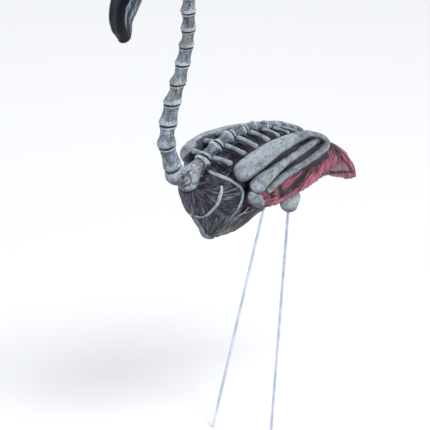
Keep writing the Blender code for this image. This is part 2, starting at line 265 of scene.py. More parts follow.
def read_rows(rows: Rows, value: np.ndarray, column: int = 1) -> np.ndarray:
    """A column of the rows at values of their first column, straight from row to row."""
    table = np.asarray(rows, float)
    return np.interp(value, table[:, 0], table[:, column])


def even_steps(rows: Rows, spacing: float, columns: int = 3) -> np.ndarray:
    """Steps along the rows' curve that lie evenly along its length.

    Args:
        rows: rows of the curve.
        spacing: wanted distance between steps, in modules.
        columns: how many of the first columns are places.

    Returns:
        Steps for smooth_rows.
    """
    fine = np.linspace(0, len(rows) - 1, 40 * len(rows))
    run = np.linalg.norm(np.diff(smooth_rows(rows, fine)[:, :columns], axis=0), axis=1)
    run = np.concatenate([[0], np.cumsum(run)])
    count = max(4, int(round(run[-1] / spacing)) + 1)
    return np.interp(np.linspace(0, run[-1], count), run, fine)


# Surfaces


def signed_volume(places: np.ndarray, quads: np.ndarray) -> float:
    """Six times the volume within the quads, below 0 where they face inwards."""
    a, b, c, d = np.moveaxis(places[quads] - places.mean(axis=0), 1, 0)
    return np.sum(a * np.cross(b, c)) + np.sum(a * np.cross(c, d))


@dataclass
class Surface:
    """Closed surface over a grid of rings, with a pole at each end.

    Attributes:
        name: the form's name.
        points: rings of places in modules, rows by columns by three.
        poles: place of the first and last pole.
        paint: material slot.
        lines: one or more sets of coordinates along and across the form's grain, rows by columns by three.
        choice: which set of lines each grid cell reads.
        masks: painted masks, each rows by columns, by name.
    """

    name: str
    points: np.ndarray
    poles: tuple[np.ndarray, np.ndarray]
    paint: Paint
    lines: np.ndarray
    choice: np.ndarray | None = None
    masks: dict[str, np.ndarray] = field(default_factory=dict)

    def normals(self) -> np.ndarray:
        """Outward unit normals: cross product of the steps along and around the grid."""
        around = np.roll(self.points, -1, axis=1) - np.roll(self.points, 1, axis=1)
        along = np.gradient(self.points, axis=0)
        normal = np.cross(around, along)
        normal /= np.maximum(np.linalg.norm(normal, axis=2, keepdims=True), 1e-9)
        middle = self.points.mean(axis=1, keepdims=True)
        inward = np.sum(normal * (self.points - middle)) < 0
        return -normal if inward else normal

    def carve(self, height: np.ndarray) -> "Surface":
        """Move each grid point out along its normal by height modules."""
        self.points = self.points + self.normals() * height[..., None]
        return self

    def mirrored(self, hand: Hand) -> "Surface":
        """The same surface on the wanted side of the bird."""
        self.points = self.points * hand.flip
        self.poles = tuple(pole * hand.flip for pole in self.poles)
        return self

    def faces(self) -> tuple[np.ndarray, np.ndarray]:
        """Corners of the quads between rings and of the triangles at the poles, as grid numbers."""
        rows, columns = self.points.shape[:2]
        grid = np.arange(rows * columns).reshape(rows, columns)
        low, high = grid[:-1], grid[1:]
        quads = np.stack([low, np.roll(low, -1, 1), np.roll(high, -1, 1), high], axis=-1).reshape(-1, 4)
        first, last = rows * columns, rows * columns + 1
        fans = [
            np.stack([np.roll(grid[0], -1), grid[0], np.full(columns, first)], axis=-1),
            np.stack([grid[-1], np.roll(grid[-1], -1), np.full(columns, last)], axis=-1),
        ]
        return quads, np.vstack(fans)

    def with_poles(self, values: np.ndarray) -> np.ndarray:
        """Grid values as one list, with the mean of the first and last ring for the poles."""
        flat = values.reshape(-1, *values.shape[2:])
        return np.concatenate([flat, values[0].mean(axis=0)[None], values[-1].mean(axis=0)[None]])

    def build(self, form: int, materials: Materials) -> bpy.types.Object:
        """Mesh object of the surface in metres, with its grain and masks on the face corners.

        Args:
            form: whole number that marks this form's faces.
            materials: one material for each slot.

        Returns:
            The new object, linked to the scene.
        """
        quads, fans = self.faces()
        places = np.vstack([self.points.reshape(-1, 3), *self.poles])
        if signed_volume(places, quads) < 0:
            quads, fans = quads[:, ::-1], fans[:, ::-1]
        mesh = bpy.data.meshes.new(self.name)
        mesh.from_pydata(LAYOUT.place(places).tolist(), [], quads.tolist() + fans.tolist())
        for value in materials:
            mesh.materials.append(value)
        faces = len(mesh.polygons)
        mesh.polygons.foreach_set("material_index", np.full(faces, int(self.paint), np.int32))
        marks = mesh.attributes.new("form", "INT", "FACE")
        marks.data.foreach_set("value", np.full(faces, form, np.int32))
        self.paint_corners(mesh, np.concatenate([quads.ravel(), fans.ravel()]))
        return placed(self.name, mesh)

    def paint_corners(self, mesh: bpy.types.Mesh, order: np.ndarray) -> None:
        """Store the masks and the grain on the face corners.

        A face reads one set of lines on all its corners, so that no line bends between two patches.

        Args:
            mesh: mesh of the surface.
            order: grid number of each corner, those of the quads first.
        """
        none = np.zeros(self.points.shape[:2])
        for title in MASKS:
            values = self.with_poles(self.masks.get(title, none))[order]
            layer = mesh.attributes.new(title, "FLOAT", "CORNER")
            layer.data.foreach_set("value", values.astype(np.float32))
        read = none.astype(int) if self.choice is None else self.choice
        of_quads = np.repeat(read[:-1].ravel(), 4)
        of_fans = np.repeat(np.concatenate([read[0], read[-1]]), 3)
        all_sets = np.stack([self.with_poles(one) for one in self.lines])
        values = all_sets[np.concatenate([of_quads, of_fans]), order]
        layer = mesh.attributes.new("lines", "FLOAT_VECTOR", "CORNER")
        layer.data.foreach_set("vector", values.astype(np.float32).ravel())


@dataclass
class Bar:
    """Rounded bar along a path, with elliptic sections and domed ends.

    Attributes:
        places: path in modules.
        widths: half width of each section along the reference direction.
        depths: half depth of each section square to it.
        reference: direction that the widths follow.
        sides: points around a section.
        dome_rings: rings in each domed end.
        headings: directions that the sections stand square to, where these aren't the path's own.
        turn: angle of each column, one by columns.
        station: share of the path at each ring, rings by one.
        index: path place of each ring.
    """

    places: np.ndarray
    widths: np.ndarray
    depths: np.ndarray
    reference: Sequence[float] = (1.0, 0.0, 0.0)
    sides: int = 36
    dome_rings: int = 6
    headings: np.ndarray | None = None
    turn: np.ndarray = field(init=False)
    station: np.ndarray = field(init=False)
    index: np.ndarray = field(init=False)

    def surface(self, name: str, paint: Paint) -> Surface:
        """Sweep the sections along the path.

        Each dome is a quarter turn: the section shrinks by the cosine and its centre moves out by the sine.

        Args:
            name: the form's name.
            paint: material slot.

        Returns:
            The closed surface, with its grain coordinates along and around the bar.
        """
        tangents = np.gradient(self.places, axis=0) if self.headings is None else self.headings
        tangents = tangents / np.linalg.norm(tangents, axis=1, keepdims=True)
        reference = np.asarray(self.reference, float)
        across = reference - tangents * (tangents @ reference)[:, None]
        across /= np.linalg.norm(across, axis=1, keepdims=True)
        normal = np.cross(tangents, across)
        dome = np.linspace(0, math.pi / 2, self.dome_rings + 2)[1:-1]
        last = len(self.places) - 1
        self.index = index = np.pad(np.arange(last + 1), self.dome_rings, mode="edge")
        share = np.concatenate([np.cos(dome[::-1]), np.ones(last + 1), np.cos(dome)])
        small = np.minimum(self.widths, self.depths)
        before, after = -np.sin(dome[::-1]) * small[0], np.sin(dome) * small[-1]
        shift = np.concatenate([before, np.zeros(last + 1), after])
        self.turn = turns(self.sides)
        self.station = (index / last)[:, None]
        wide = self.widths[index][:, None] * np.cos(self.turn) * share[:, None]
        deep = self.depths[index][:, None] * np.sin(self.turn) * share[:, None]
        centre = (self.places[index] + tangents[index] * shift[:, None])[:, None]
        points = centre + across[index][:, None] * wide[..., None]
        points = points + normal[index][:, None] * deep[..., None]
        poles = (self.places[0] - tangents[0] * small[0], self.places[-1] + tangents[-1] * small[-1])
        run = np.concatenate([[0], np.cumsum(np.linalg.norm(np.diff(self.places, axis=0), axis=1))])
        along = (run[index] + shift)[:, None] + 0 * self.turn
        return Surface(name, points, poles, paint, np.stack([along, wide, deep], axis=-1)[None])


# Strokes of the flesh and the feathers


@dataclass(frozen=True)
class Rays:
    """Strokes that run straight out from a place in the chart."""

    across: float
    down: float
    reach: float = 30.0

    def lines(self, across: np.ndarray, down: np.ndarray) -> np.ndarray:
        """Distance along a ray and place over the rays."""
        distance = np.hypot(across - self.across, down - self.down)
        angle = np.arctan2(down - self.down, across - self.across)
        return np.stack([distance, angle * self.reach, 0 * distance], axis=-1)


@dataclass(frozen=True)
class Arcs:
    """Strokes that follow circles about a place in the chart."""

    across: float
    down: float
    reach: float = 80.0

    def lines(self, across: np.ndarray, down: np.ndarray) -> np.ndarray:
        """Distance along a circle and place over the circles."""
        rays = Rays(self.across, self.down, self.reach).lines(across, down)
        return rays[..., (1, 0, 2)]


@dataclass(frozen=True)
class Level:
    """Strokes that all lean the same way, counted in radians down from level."""

    lean: float

    def lines(self, across: np.ndarray, down: np.ndarray) -> np.ndarray:
        """Distance along and over the strokes."""
        along = across * math.cos(self.lean) + down * math.sin(self.lean)
        over = down * math.cos(self.lean) - across * math.sin(self.lean)
        return np.stack([along, over, 0 * along], axis=-1)


class Patch(IntEnum):
    """Patches of the skin, each with its own run of strokes."""

    BREAST = 0
    BETWEEN_RIBS = 1
    KEEL_SIDE = 2
    BELLY = 3
    BACK = 4
    WING = 5
    TAIL = 6


RUNS: dict[Patch, Rays | Arcs | Level] = {
    Patch.BREAST: Rays(5, 10, 26),
    Patch.BETWEEN_RIBS: Rays(15, 23, 26),
    Patch.KEEL_SIDE: Rays(19, 62, 26),
    Patch.BELLY: Level(-0.72),
    Patch.BACK: Level(0.35),
    Patch.WING: Arcs(48, -53, 85),
    Patch.TAIL: Arcs(112, 10, 55),
}
APART = 60.0


@dataclass(frozen=True)
class Gap:
    """Dark gap between feathers.

    Attributes:
        path: across and down of its corners in the chart.
        width: distance at which it has faded to a third.
    """

    path: Rows
    width: float

    def depth(self, across: np.ndarray, down: np.ndarray) -> np.ndarray:
        """1 on the path, falling off as a bell curve of the distance to its nearest stretch."""
        nearest = np.full(across.shape, 1e9)
        for (x0, y0), (x1, y1) in zip(self.path[:-1], self.path[1:]):
            run_x, run_y = x1 - x0, y1 - y0
            share = ((across - x0) * run_x + (down - y0) * run_y) / (run_x**2 + run_y**2)
            share = np.clip(share, 0, 1)
            nearest = np.minimum(nearest, np.hypot(across - x0 - share * run_x, down - y0 - share * run_y))
        return bump(nearest, 0, self.width)


GAPS = (
    Gap(((99, 14), (108, 6), (115, 0), (121, -11), (133, -20)), 3.0),
    Gap(((91.5, 6), (94, 16)), 2.8),
    Gap(((84.5, 15), (85.5, 19)), 1.8),
    Gap(((139, -35), (150, -26)), 3.4),
    Gap(((150, -26), (158, -17), (167, -7)), 1.1),
    Gap(((87, 30), (95, 28)), 2.0),
    Gap(((136, -5), (152, -5.8), (165, -6.6)), 0.9),
)
ROOT_LINE = Gap(((-9.5, 10), (-4.5, 2), (-1, -4.5), (1, -7)), 0.85)


# Edges between patches in the chart, as down and across. The keel's edge is across and down.

RIB_EDGE: Rows = ((0, 38), (7, 36), (15, 33), (22, 32), (28, 28), (33, 22), (38, 15), (40, 10))
KEEL_EDGE: Rows = ((10, 40), (15, 38.5), (25, 40), (43, 38.5), (61, 30), (66, 29), (90, 22))
TAIL_EDGE: Rows = ((-41, 138), (-17, 157), (0, 160))


def patches(points: np.ndarray, feathered: np.ndarray) -> np.ndarray:
    """Patch of each place on the trunk, read from the chart.

    Args:
        points: places in modules.
        feathered: which of them lie on the tail.

    Returns:
        Whole patch numbers.
    """
    across, down = CHART.across(points), CHART.down(points)
    found = np.full(across.shape, int(Patch.BREAST))
    found[across > read_rows(RIB_EDGE, down)] = Patch.BETWEEN_RIBS
    below = down > read_rows(KEEL_EDGE, across)
    found[below] = Patch.KEEL_SIDE
    found[below & (across > 25 + (59 - down) * 0.79)] = Patch.BELLY
    found[points[..., 2] > 0.5 * np.abs(points[..., 0]) - 12 + 0.12 * points[..., 1]] = Patch.BACK
    tail = feathered & (across > read_rows(TAIL_EDGE, down))
    found[feathered] = Patch.WING
    found[tail] = Patch.TAIL
    return found


def all_lines(points: np.ndarray) -> np.ndarray:
    """Line coordinates of every patch, set after set, far enough apart to read other noise."""
    across, down = CHART.across(points), CHART.down(points)
    return np.stack([RUNS[patch].lines(across, down) + APART * patch for patch in Patch])


def dark_gaps(points: np.ndarray) -> np.ndarray:
    """Depth from 0 to 1 of the dark gaps between the feathers."""
    across, down = CHART.across(points), CHART.down(points)
    return np.max([gap.depth(across, down) for gap in GAPS], axis=0)


def stroke_height(lines: np.ndarray, pitch: float, length: float, seed: int) -> np.ndarray:
    """Height from -1 to 1 of strokes about pitch apart and length long, from noise stretched along them."""
    bend = noise(lines * np.array((0.10, 0.08, 1.0)), seed + 7)
    bent = lines + np.stack([0 * bend, 1.4 * bend, 0 * bend], axis=-1)
    return np.clip(1.25 * stretched(bent, (1 / length, 1 / pitch, 1.0), seed), -1, 1)


def chosen(sets: np.ndarray, choice: np.ndarray) -> np.ndarray:
    """Line coordinates of the chosen set at each place."""
    return np.take_along_axis(sets, choice[None, ..., None], axis=0)[0]


# Forms of the moulding


@dataclass
class Trunk:
    """Breast, belly, back and tail.

    Attributes:
        sections: back, top, widest level, bottom, half width, roundness above and below the widest level.
        front_pole: side, back and up of the front end.
        tail_pole: side, back and up of the tail's tip.
        tail_start: how far back the feathers begin.
        columns: grid points around a ring.
        stretches: first section, last section and rings of each stretch of the grid.
        recess_upper: across and down along the upper edge of the tail's sunk triangle, in the chart.
        recess_lower: the same along its lower edge.
    """

    sections: Rows = (
        (-4, -10, -15, -21, 8, 2.0, 2.0),
        (0, -7, -15, -29, 13, 2.0, 1.9),
        (8, -4, -16, -42, 20, 2.0, 1.8),
        (17, 0, -17, -56, 25.5, 2.0, 1.7),
        (29, 5, -18, -72, 30.5, 2.0, 1.6),
        (45, 11, -20, -76, 34, 2.5, 1.7),
        (62, 16, -22, -74, 36, 3.4, 1.8),
        (82, 18, -22, -66, 37, 3.8, 1.9),
        (102, 18, -22, -60.5, 36, 3.8, 2.0),
        (122, 15, -24, -59, 33.5, 3.4, 2.0),
        (142, 10, -26, -58, 30, 2.8, 2.0),
        (160, 4, -28, -56, 26.5, 2.2, 2.0),
        (178, -4, -32, -54.5, 23.5, 2.0, 2.0),
        (198, -15, -40, -55, 21, 2.0, 2.2),
        (216, -26, -50, -61.5, 18, 1.9, 2.4),
        (232, -39, -60, -69, 14, 1.8, 2.4),
        (243, -52, -66, -70.5, 9, 1.8, 2.4),
    )
    front_pole: Triple = (0, -6.5, -14)
    tail_pole: Triple = (0, 249, -67)
    tail_start: float = 184.0
    columns: int = 176
    stretches: Rows = ((0, 5, 68), (5, 10, 54), (10, 16, 68))
    recess_upper: Rows = ((138, -5), (155, -17), (167, -7))
    recess_lower: Rows = ((138, -5.2), (167, -6.5))

    def rings(self) -> np.ndarray:
        """Places of all rings: half ellipses of a higher power above and below the widest level."""
        steps = [np.linspace(first, last, rings)[:-1] for first, last, rings in self.stretches]
        steps = np.append(np.concatenate(steps), len(self.sections) - 1)
        back, top, middle, bottom, half, above, below = (
            column[:, None] for column in smooth_rows(self.sections, steps).T
        )
        turn = turns(self.columns)
        sine, cosine = np.sin(turn), np.cos(turn)
        power = 2 / np.where(sine > 0, above, below)
        side = half * signed_power(cosine, power)
        up = middle + np.where(sine > 0, top - middle, middle - bottom) * signed_power(sine, power)
        return np.stack([side, back + 0 * turn, up], axis=-1)

    def side_at(self, back: np.ndarray, up: np.ndarray) -> np.ndarray:
        """Half width of the trunk at a level, from the section's formula."""
        top, middle, bottom, half, above, below = (read_rows(self.sections, back, k) for k in range(1, 7))
        reach = np.where(up > middle, (up - middle) / (top - middle), (middle - up) / (middle - bottom))
        power = np.where(up > middle, above, below)
        return half * (1 - np.clip(reach, 0, 1) ** power) ** (1 / power)

    def surface(self) -> Surface:
        """Trunk with its hollows, muscle strokes and tail feathers carved in."""
        poles = (np.array(self.front_pole), np.array(self.tail_pole))
        points = self.rings()
        skin = Surface("trunk", points, poles, Paint.SKIN, all_lines(points))
        side, back, up = np.abs(points[..., 0]), points[..., 1], points[..., 2]
        hollow = self.hollows(side, back, up)
        flank = ramp(CHART.across(points), 72, 78) * ramp(side, 5, 9) * (1 - ramp(up, -30, -24))
        feathered = np.maximum(ramp(back, self.tail_start, self.tail_start + 6), flank)
        # Painted shade on the flank under the wing panel.
        shade_under_wing = ramp(side, 14, 22) * window(back, 46, 56, 184, 190) * (1 - ramp(up, 2, 10))
        skin.choice = patches(points, feathered > 0.5)
        lines = chosen(skin.lines, skin.choice)
        flesh = stroke_height(lines, 2.3, 11, Seed.FLESH)
        barbs = stroke_height(lines, 2.4, 20, Seed.TAIL_BARBS)
        near_pole = window(back, -4.5, 4, 240, 247)
        stroke = flesh * (1 - feathered) + barbs * feathered
        gaps = dark_gaps(points) * feathered
        recess = self.tail_recess(points)
        skin.carve(near_pole * (0.5 + 0.3 * feathered) * stroke - hollow - 0.9 * gaps - 2.0 * recess)
        # The first mask holds painted shade in the hollows and under the wing, and the dark gaps between
        # the feathers.
        skin.masks = {
            "wash_and_shade": np.clip(hollow / 3.0 + gaps + shade_under_wing * (1 - flank), 0, 1),
            "lower": recess,
            "stroke": stroke,
            "feather": feathered,
            "belly": (skin.choice == Patch.BELLY).astype(float),
        }
        return skin

    def hollows(self, side: np.ndarray, back: np.ndarray, up: np.ndarray) -> np.ndarray:
        """Depth in modules of the hollow before the wing and of the grooves beside spine and rump."""
        before_wing = 3.2 * bump(back, 52, 5) * ramp(side, 16, 28) * ramp(up, -50, -38)
        beside_spine = 2.6 * bump(side, 15, 6) * window(back, 14, 26, 138, 165) * ramp(up, -3, 6)
        beside_rump = 1.6 * bump(side, 9, 5) * window(back, 120, 150, 165, 180) * ramp(up, -3, 4)
        return before_wing + beside_spine + beside_rump

    def tail_recess(self, points: np.ndarray) -> np.ndarray:
        """Depth from 0 to 1 of the sunk triangle under the tail's upper feathers."""
        across, down = CHART.across(points), CHART.down(points)
        under_upper = ramp(down - read_rows(self.recess_upper, across), 0, 2)
        over_lower = 1 - ramp(down - read_rows(self.recess_lower, across), -1.5, 0.5)
        return under_upper * over_lower * ramp(across, 138, 143)


@dataclass
class WingPanel:
    """Feathered panel over each flank.

    Attributes:
        sections: back, outer face, top, bottom, half thickness.
        roundness: power of the sections' ellipses.
        columns: grid points around a ring.
        spacing: distance between rings, in modules.
    """

    sections: Rows = (
        (52, 43, -19, -33.5, 6),
        (62, 45, -17, -38.5, 7),
        (80, 43.5, -18, -44.5, 8),
        (100, 40.5, -19, -47.2, 8),
        (124, 36.5, -20, -48.5, 8),
        (145, 32.5, -21, -47.6, 8),
        (160, 29, -22.5, -46.8, 8),
        (176, 25, -25, -46.2, 8),
        (196, 19, -29, -45.5, 7),
        (212, 13, -36, -43.5, 5),
    )
    roundness: float = 2.4
    columns: int = 54
    spacing: float = 1.2

    def surface(self, hand: Hand) -> Surface:
        """Panel with ridges along its barbs, dark gaps and a ragged lower edge.

        Args:
            hand: side of the bird.

        Returns:
            The closed surface.
        """
        steps = even_steps(self.sections, self.spacing, 1)
        back, outer, top, bottom, half = (column[:, None] for column in smooth_rows(self.sections, steps).T)
        turn = turns(self.columns)
        power = 2 / self.roundness
        side = outer - half + half * signed_power(np.cos(turn), power)
        rise = signed_power(np.sin(turn), power)
        up = (top + bottom) / 2 + (top - bottom) / 2 * rise
        points = np.stack([side, back + 0 * turn, up], axis=-1)
        poles = (
            np.array([outer[0, 0] - half[0, 0], back[0, 0] - 3, (top[0, 0] + bottom[0, 0]) / 2]),
            np.array([outer[-1, 0] - half[-1, 0], back[-1, 0] + 5, (top[-1, 0] + bottom[-1, 0]) / 2]),
        )
        skin = Surface(f"wing_panel_{hand.title}", points, poles, Paint.SKIN, all_lines(points))
        skin.choice = np.full(points.shape[:2], int(Patch.WING))
        barbs = stroke_height(chosen(skin.lines, skin.choice), 2.3, 20, Seed.WING_BARBS)
        gaps = dark_gaps(points)
        ragged = ramp(-rise, 0.55, 1.0) * stretched(points, (0.0, 0.24, 0.0), Seed.RAGGED_EDGE)
        skin.carve(0.65 * barbs + 1.1 * ragged - 1.5 * gaps)
        skin.masks = {"wash_and_shade": gaps, "stroke": barbs, "feather": np.ones(gaps.shape)}
        return skin.mirrored(hand)


@dataclass
class WingBones:
    """Humerus that turns back into the radius, ulna and wrist of each wing.

    Attributes:
        humerus: side, back, up and radius along the humerus, round the elbow and down the radius.
        ulna: the same along the ulna.
        wrist: the same through the wrist knob.
    """

    humerus: Rows = (
        (36, 42.6, 4, 10.5),
        (36, 52, 6.8, 11),
        (35, 66, 9.3, 10.5),
        (31, 91, 11.2, 9),
        (26, 117, 10, 7.6),
        (22, 142.4, 8, 5.2),
        (19.5, 156, 6.1, 4),
        (16.5, 170, 0.5, 3.4),
        (15.8, 182, -5.5, 3.6),
        (16.5, 189, -13, 3.8),
        (20.5, 179.5, -17.2, 3.8),
        (29, 145.3, -17.6, 3.8),
        (36, 116.6, -17, 4.0),
        (41, 93.3, -17.8, 3.8),
        (45, 70.5, -22.5, 3.0),
    )
    ulna: Rows = (
        (44, 54.6, -12.6, 8.6),
        (43, 64, -10.2, 8.0),
        (40, 81, -7.6, 6.0),
        (35, 107.3, -4.2, 4.9),
        (29, 134.7, -4.0, 4.3),
        (22, 161, -5.0, 3.2),
        (18.5, 173, -6.0, 2.0),
    )
    wrist: Rows = ((43, 50.5, -22.5, 7.0), (44, 53, -27, 7.4), (44.5, 56.5, -31, 5.8))

    def bone(self, name: str, rows: Rows, sides: int, spacing: float) -> Surface:
        """One bone with lengthwise grain, small pits and wrinkles round its front knob.

        The front half of a long bone gets painted shade on the side that faces the spine, below its top.

        Args:
            name: the form's name.
            rows: side, back, up and radius along the bone.
            sides: points around.
            spacing: distance between rings, in modules.

        Returns:
            The closed surface.
        """
        side, back, up, radius = smooth_rows(rows, even_steps(rows, spacing)).T
        bar = Bar(np.stack([side, back, up], axis=-1), radius, radius, sides=sides)
        skin = bar.surface(name, Paint.BONE)
        points = skin.points
        grain = stretched(skin.lines[0], (0.05, 0.55, 0.55), Seed.WING_GRAIN)
        pits = np.clip(stretched(points, (0.33, 0.22, 0.33), Seed.WING_PITS) - 0.62, 0, 1)
        lumps = stretched(points, (0.11, 0.06, 0.11), Seed.WING_LUMPS)
        knob = 1 - ramp(bar.station, 0.02, 0.14)
        creases = knob * np.clip(stretched(points, (0.16, 0.42, 0.16), Seed.WING_CREASES) - 0.3, 0, 1)
        skin.carve(0.14 * grain - 1.0 * pits + 0.3 * lumps - 0.6 * creases)
        # Painted shade: dark on the lower part of the side that faces the spine, over the front half of the
        # bone.
        facing_down = np.sin(bar.turn) - 0.27 * np.cos(bar.turn) + 0.2 * lumps
        facing_spine = ramp(-np.cos(bar.turn), 0.05, 0.35)
        painted_shade = facing_spine * ramp(facing_down, -0.85, -0.45) * (1 - ramp(bar.station, 0.36, 0.46))
        mottled = knob * (0.2 + 0.12 * lumps)
        skin.masks = {
            "wash_and_shade": np.clip(1.2 * pits + 0.6 * creases + mottled + painted_shade, 0, 1),
            "stroke": grain,
            "lower": np.ones(grain.shape),
        }
        return skin

    def surfaces(self, hand: Hand) -> list[Surface]:
        """All bones of one wing."""
        side = hand.title
        bones = [
            self.bone(f"humerus_{side}", self.humerus, 38, 1.6),
            self.bone(f"ulna_{side}", self.ulna, 34, 1.5),
            self.bone(f"wrist_{side}", self.wrist, 34, 1.0),
        ]
        return [bone.mirrored(hand) for bone in bones]


@dataclass(frozen=True)
class Vertebra:
    """How one kind of vertebra is shaped and painted along its length, from its first joint to its last.

    Attributes:
        girth: share of the length, share of the radius and forward shift in modules.
        wash_and_shade: share of the length and darkness of the paint: dark at the joints, painted shade
            down the hollow waist, lighter rims below 0.
    """

    girth: Rows
    wash_and_shade: Rows


@dataclass
class Spine:
    """Spool-shaped vertebrae of the neck and the back.

    Attributes:
        neck: back, up and radius at each joint of the neck, and the heading square to it in degrees.
        back: the same along the back.
        block: back, up and radius down the block where the two meet.
        neck_bone: shape of a neck vertebra.
        first_bone: shape of the neck's lowest vertebra.
        back_bone: shape of a back vertebra.
        root_bone: shape of the first vertebra of the back, inside the block.
    """

    neck: Rows = (
        (-11, 3.5, 9.7, 136),
        (-22, 19.3, 9.5, 126),
        (-31, 44.5, 9.8, 106),
        (-29.3, 66.2, 9.6, 91),
        (-23.3, 87, 9.3, 92),
        (-14.8, 106.2, 8.9, 95),
        (-7.6, 124.2, 8.2, 91),
        (-2.4, 141.7, 7.9, 91),
        (0.8, 158.8, 7.7, 98),
        (1, 177.6, 7.7, 94),
        (1.5, 194.5, 7.6, 96),
        (-0.8, 210.5, 7.6, 104),
        (-7.5, 223, 7.6, 125),
        (-19, 231, 7.6, 155),
    )
    back: Rows = (
        (-8, 1, 9.2, -35),
        (8, 0, 9.2, 45),
        (24, 13.7, 8.2, 37),
        (43, 21.5, 7.8, 26),
        (62, 26.5, 7.4, 14),
        (81, 28, 6.9, 3),
        (99, 26, 6.2, -9),
        (116, 22, 5.6, -14),
        (132, 17, 5.0, -18),
        (146, 11.5, 4.4, -22),
        (159, 5.5, 3.6, -27),
    )
    block: Rows = ((17, 10.5, 6.2), (9, 6, 8.8), (2.5, 0.5, 10.6), (0.5, -4.5, 10.6))
    neck_bone: Vertebra = Vertebra(
        girth=(
            (0.0, 0.79, 0.0),
            (0.04, 0.82, 0.1),
            (0.065, 0.98, 0.2),
            (0.11, 1.02, 0.5),
            (0.20, 0.985, 0.9),
            (0.30, 0.91, 0.6),
            (0.42, 0.82, 0.2),
            (0.60, 0.775, -0.1),
            (0.78, 0.79, -0.1),
            (0.88, 0.85, -0.2),
            (0.915, 0.94, -0.2),
            (0.95, 0.94, -0.2),
            (0.968, 0.84, 0.0),
            (1.0, 0.79, 0.0),
        ),
        wash_and_shade=(
            (0.0, 1.3),
            (0.062, 1.2),
            (0.082, -0.28),
            (0.13, -0.2),
            (0.21, 0.10),
            (0.32, 0.16),
            (0.45, 0.24),
            (0.75, 0.22),
            (0.87, 0.08),
            (0.90, -0.28),
            (0.945, -0.2),
            (0.96, 1.1),
            (1.0, 1.3),
        ),
    )
    first_bone: Vertebra = Vertebra(
        girth=(
            (0.0, 0.7, 0.2),
            (0.08, 0.96, 0.8),
            (0.30, 1.08, 2.4),
            (0.60, 1.12, 3.0),
            (0.85, 1.02, 2.2),
            (0.95, 0.92, 1.2),
            (1.00, 0.80, 0.2),
        ),
        wash_and_shade=(
            (0.0, 0.3),
            (0.2, 0.3),
            (0.5, 0.34),
            (0.8, 0.26),
            (0.90, -0.1),
            (0.95, -0.1),
            (0.97, 1.1),
            (1.0, 1.3),
        ),
    )
    back_bone: Vertebra = Vertebra(
        girth=(
            (0.0, 0.62, 0.0),
            (0.06, 0.72, 0.0),
            (0.11, 0.84, 0.0),
            (0.18, 0.84, 0.0),
            (0.28, 0.74, 0.0),
            (0.55, 0.73, 0.0),
            (0.74, 0.86, 0.0),
            (0.85, 1.04, 0.0),
            (0.93, 1.06, 0.0),
            (0.97, 0.86, 0.0),
            (1.0, 0.62, 0.0),
        ),
        wash_and_shade=(
            (0.0, 1.3),
            (0.08, 1.1),
            (0.12, -0.1),
            (0.18, -0.1),
            (0.28, 0.42),
            (0.55, 0.36),
            (0.75, 0.16),
            (0.84, -0.2),
            (0.93, -0.2),
            (0.955, 1.1),
            (1.0, 1.3),
        ),
    )
    root_bone: Vertebra = Vertebra(
        girth=((0.0, 0.85, 0.0), (0.3, 0.95, 0.0), (0.7, 0.97, 0.0), (0.93, 0.95, 0.0), (1.0, 0.72, 0.0)),
        wash_and_shade=((0.0, 0.3), (0.5, 0.3), (0.9, 0.2), (0.96, 1.0), (1.0, 1.3)),
    )

    def chain(
        self, name: str, joints: Rows, first: Vertebra, bone: Vertebra, rings: int, sides: int
    ) -> Surface:
        """Chain of vertebrae from joint to joint.

        A ring's radius follows the kind's girth along each vertebra, and its middle shifts forward with it.
        Hollows run down the waist, where the girth is smallest.

        Args:
            name: the form's name.
            joints: rows of back, up, radius and heading at each joint.
            first: kind of the first vertebra.
            bone: kind of all others.
            rings: rings of grid points for each vertebra.
            sides: points around.

        Returns:
            The closed surface, with its joints painted dark and painted shade down its hollows.
        """
        last = len(joints) - 1
        within = np.linspace(0, 1, rings, endpoint=False)
        within = within - 0.06 * np.sin(2 * math.pi * within)
        steps = np.concatenate([(np.arange(last)[:, None] + within[None, :]).ravel(), [float(last)]])
        back, up, radius, degrees = smooth_rows(joints, steps).T
        number = np.minimum(np.floor(steps), last - 1)
        share = steps - number

        def along(kind: str, column: int) -> np.ndarray:
            own, common = (read_rows(getattr(vertebra, kind), share, column) for vertebra in (first, bone))
            return np.where(number == 0, own, common)

        angle = np.radians(degrees)
        shift = along("girth", 2) * np.sin(angle)
        places = midline(back - shift * np.sin(angle), up + shift * np.cos(angle))
        headings = midline(np.cos(angle), np.sin(angle))
        girth = radius * along("girth", 1)
        dark = along("wash_and_shade", 1)
        bar = Bar(places, girth, girth, sides=sides, dome_rings=4, headings=headings)
        skin = bar.surface(name, Paint.BONE)
        share = share[bar.index][:, None]
        number = number[bar.index][:, None]
        waist = window(share, 0.24, 0.42, 0.78, 0.92)
        spin = 1.3 * np.sin(number * 2.4) + 0.6
        flutes = np.clip(np.cos(2 * bar.turn + spin) + 0.35 * np.cos(5 * bar.turn - spin), -1, 1)
        points = skin.points
        lumps = stretched(points, (0.2, 0.2, 0.13), Seed.SPINE_LUMPS)
        streaks = stretched(skin.lines[0], (0.10, 0.42, 0.42), Seed.SPINE_STREAKS)
        pits = np.clip(stretched(points, (0.45, 0.45, 0.33), Seed.SPINE_PITS) - 0.42, 0, 1)
        pits = pits * (0.35 + 0.65 * waist)
        nicks = (1 - waist) * np.clip(stretched(points, (0.3, 0.3, 0.6), Seed.SPINE_NICKS) - 0.5, 0, 1)
        size = radius[bar.index][:, None]
        hollow = 0.035 * waist * size * flutes
        skin.carve(0.26 * lumps + 0.22 * streaks * waist - 0.9 * pits - hollow - 0.5 * nicks)
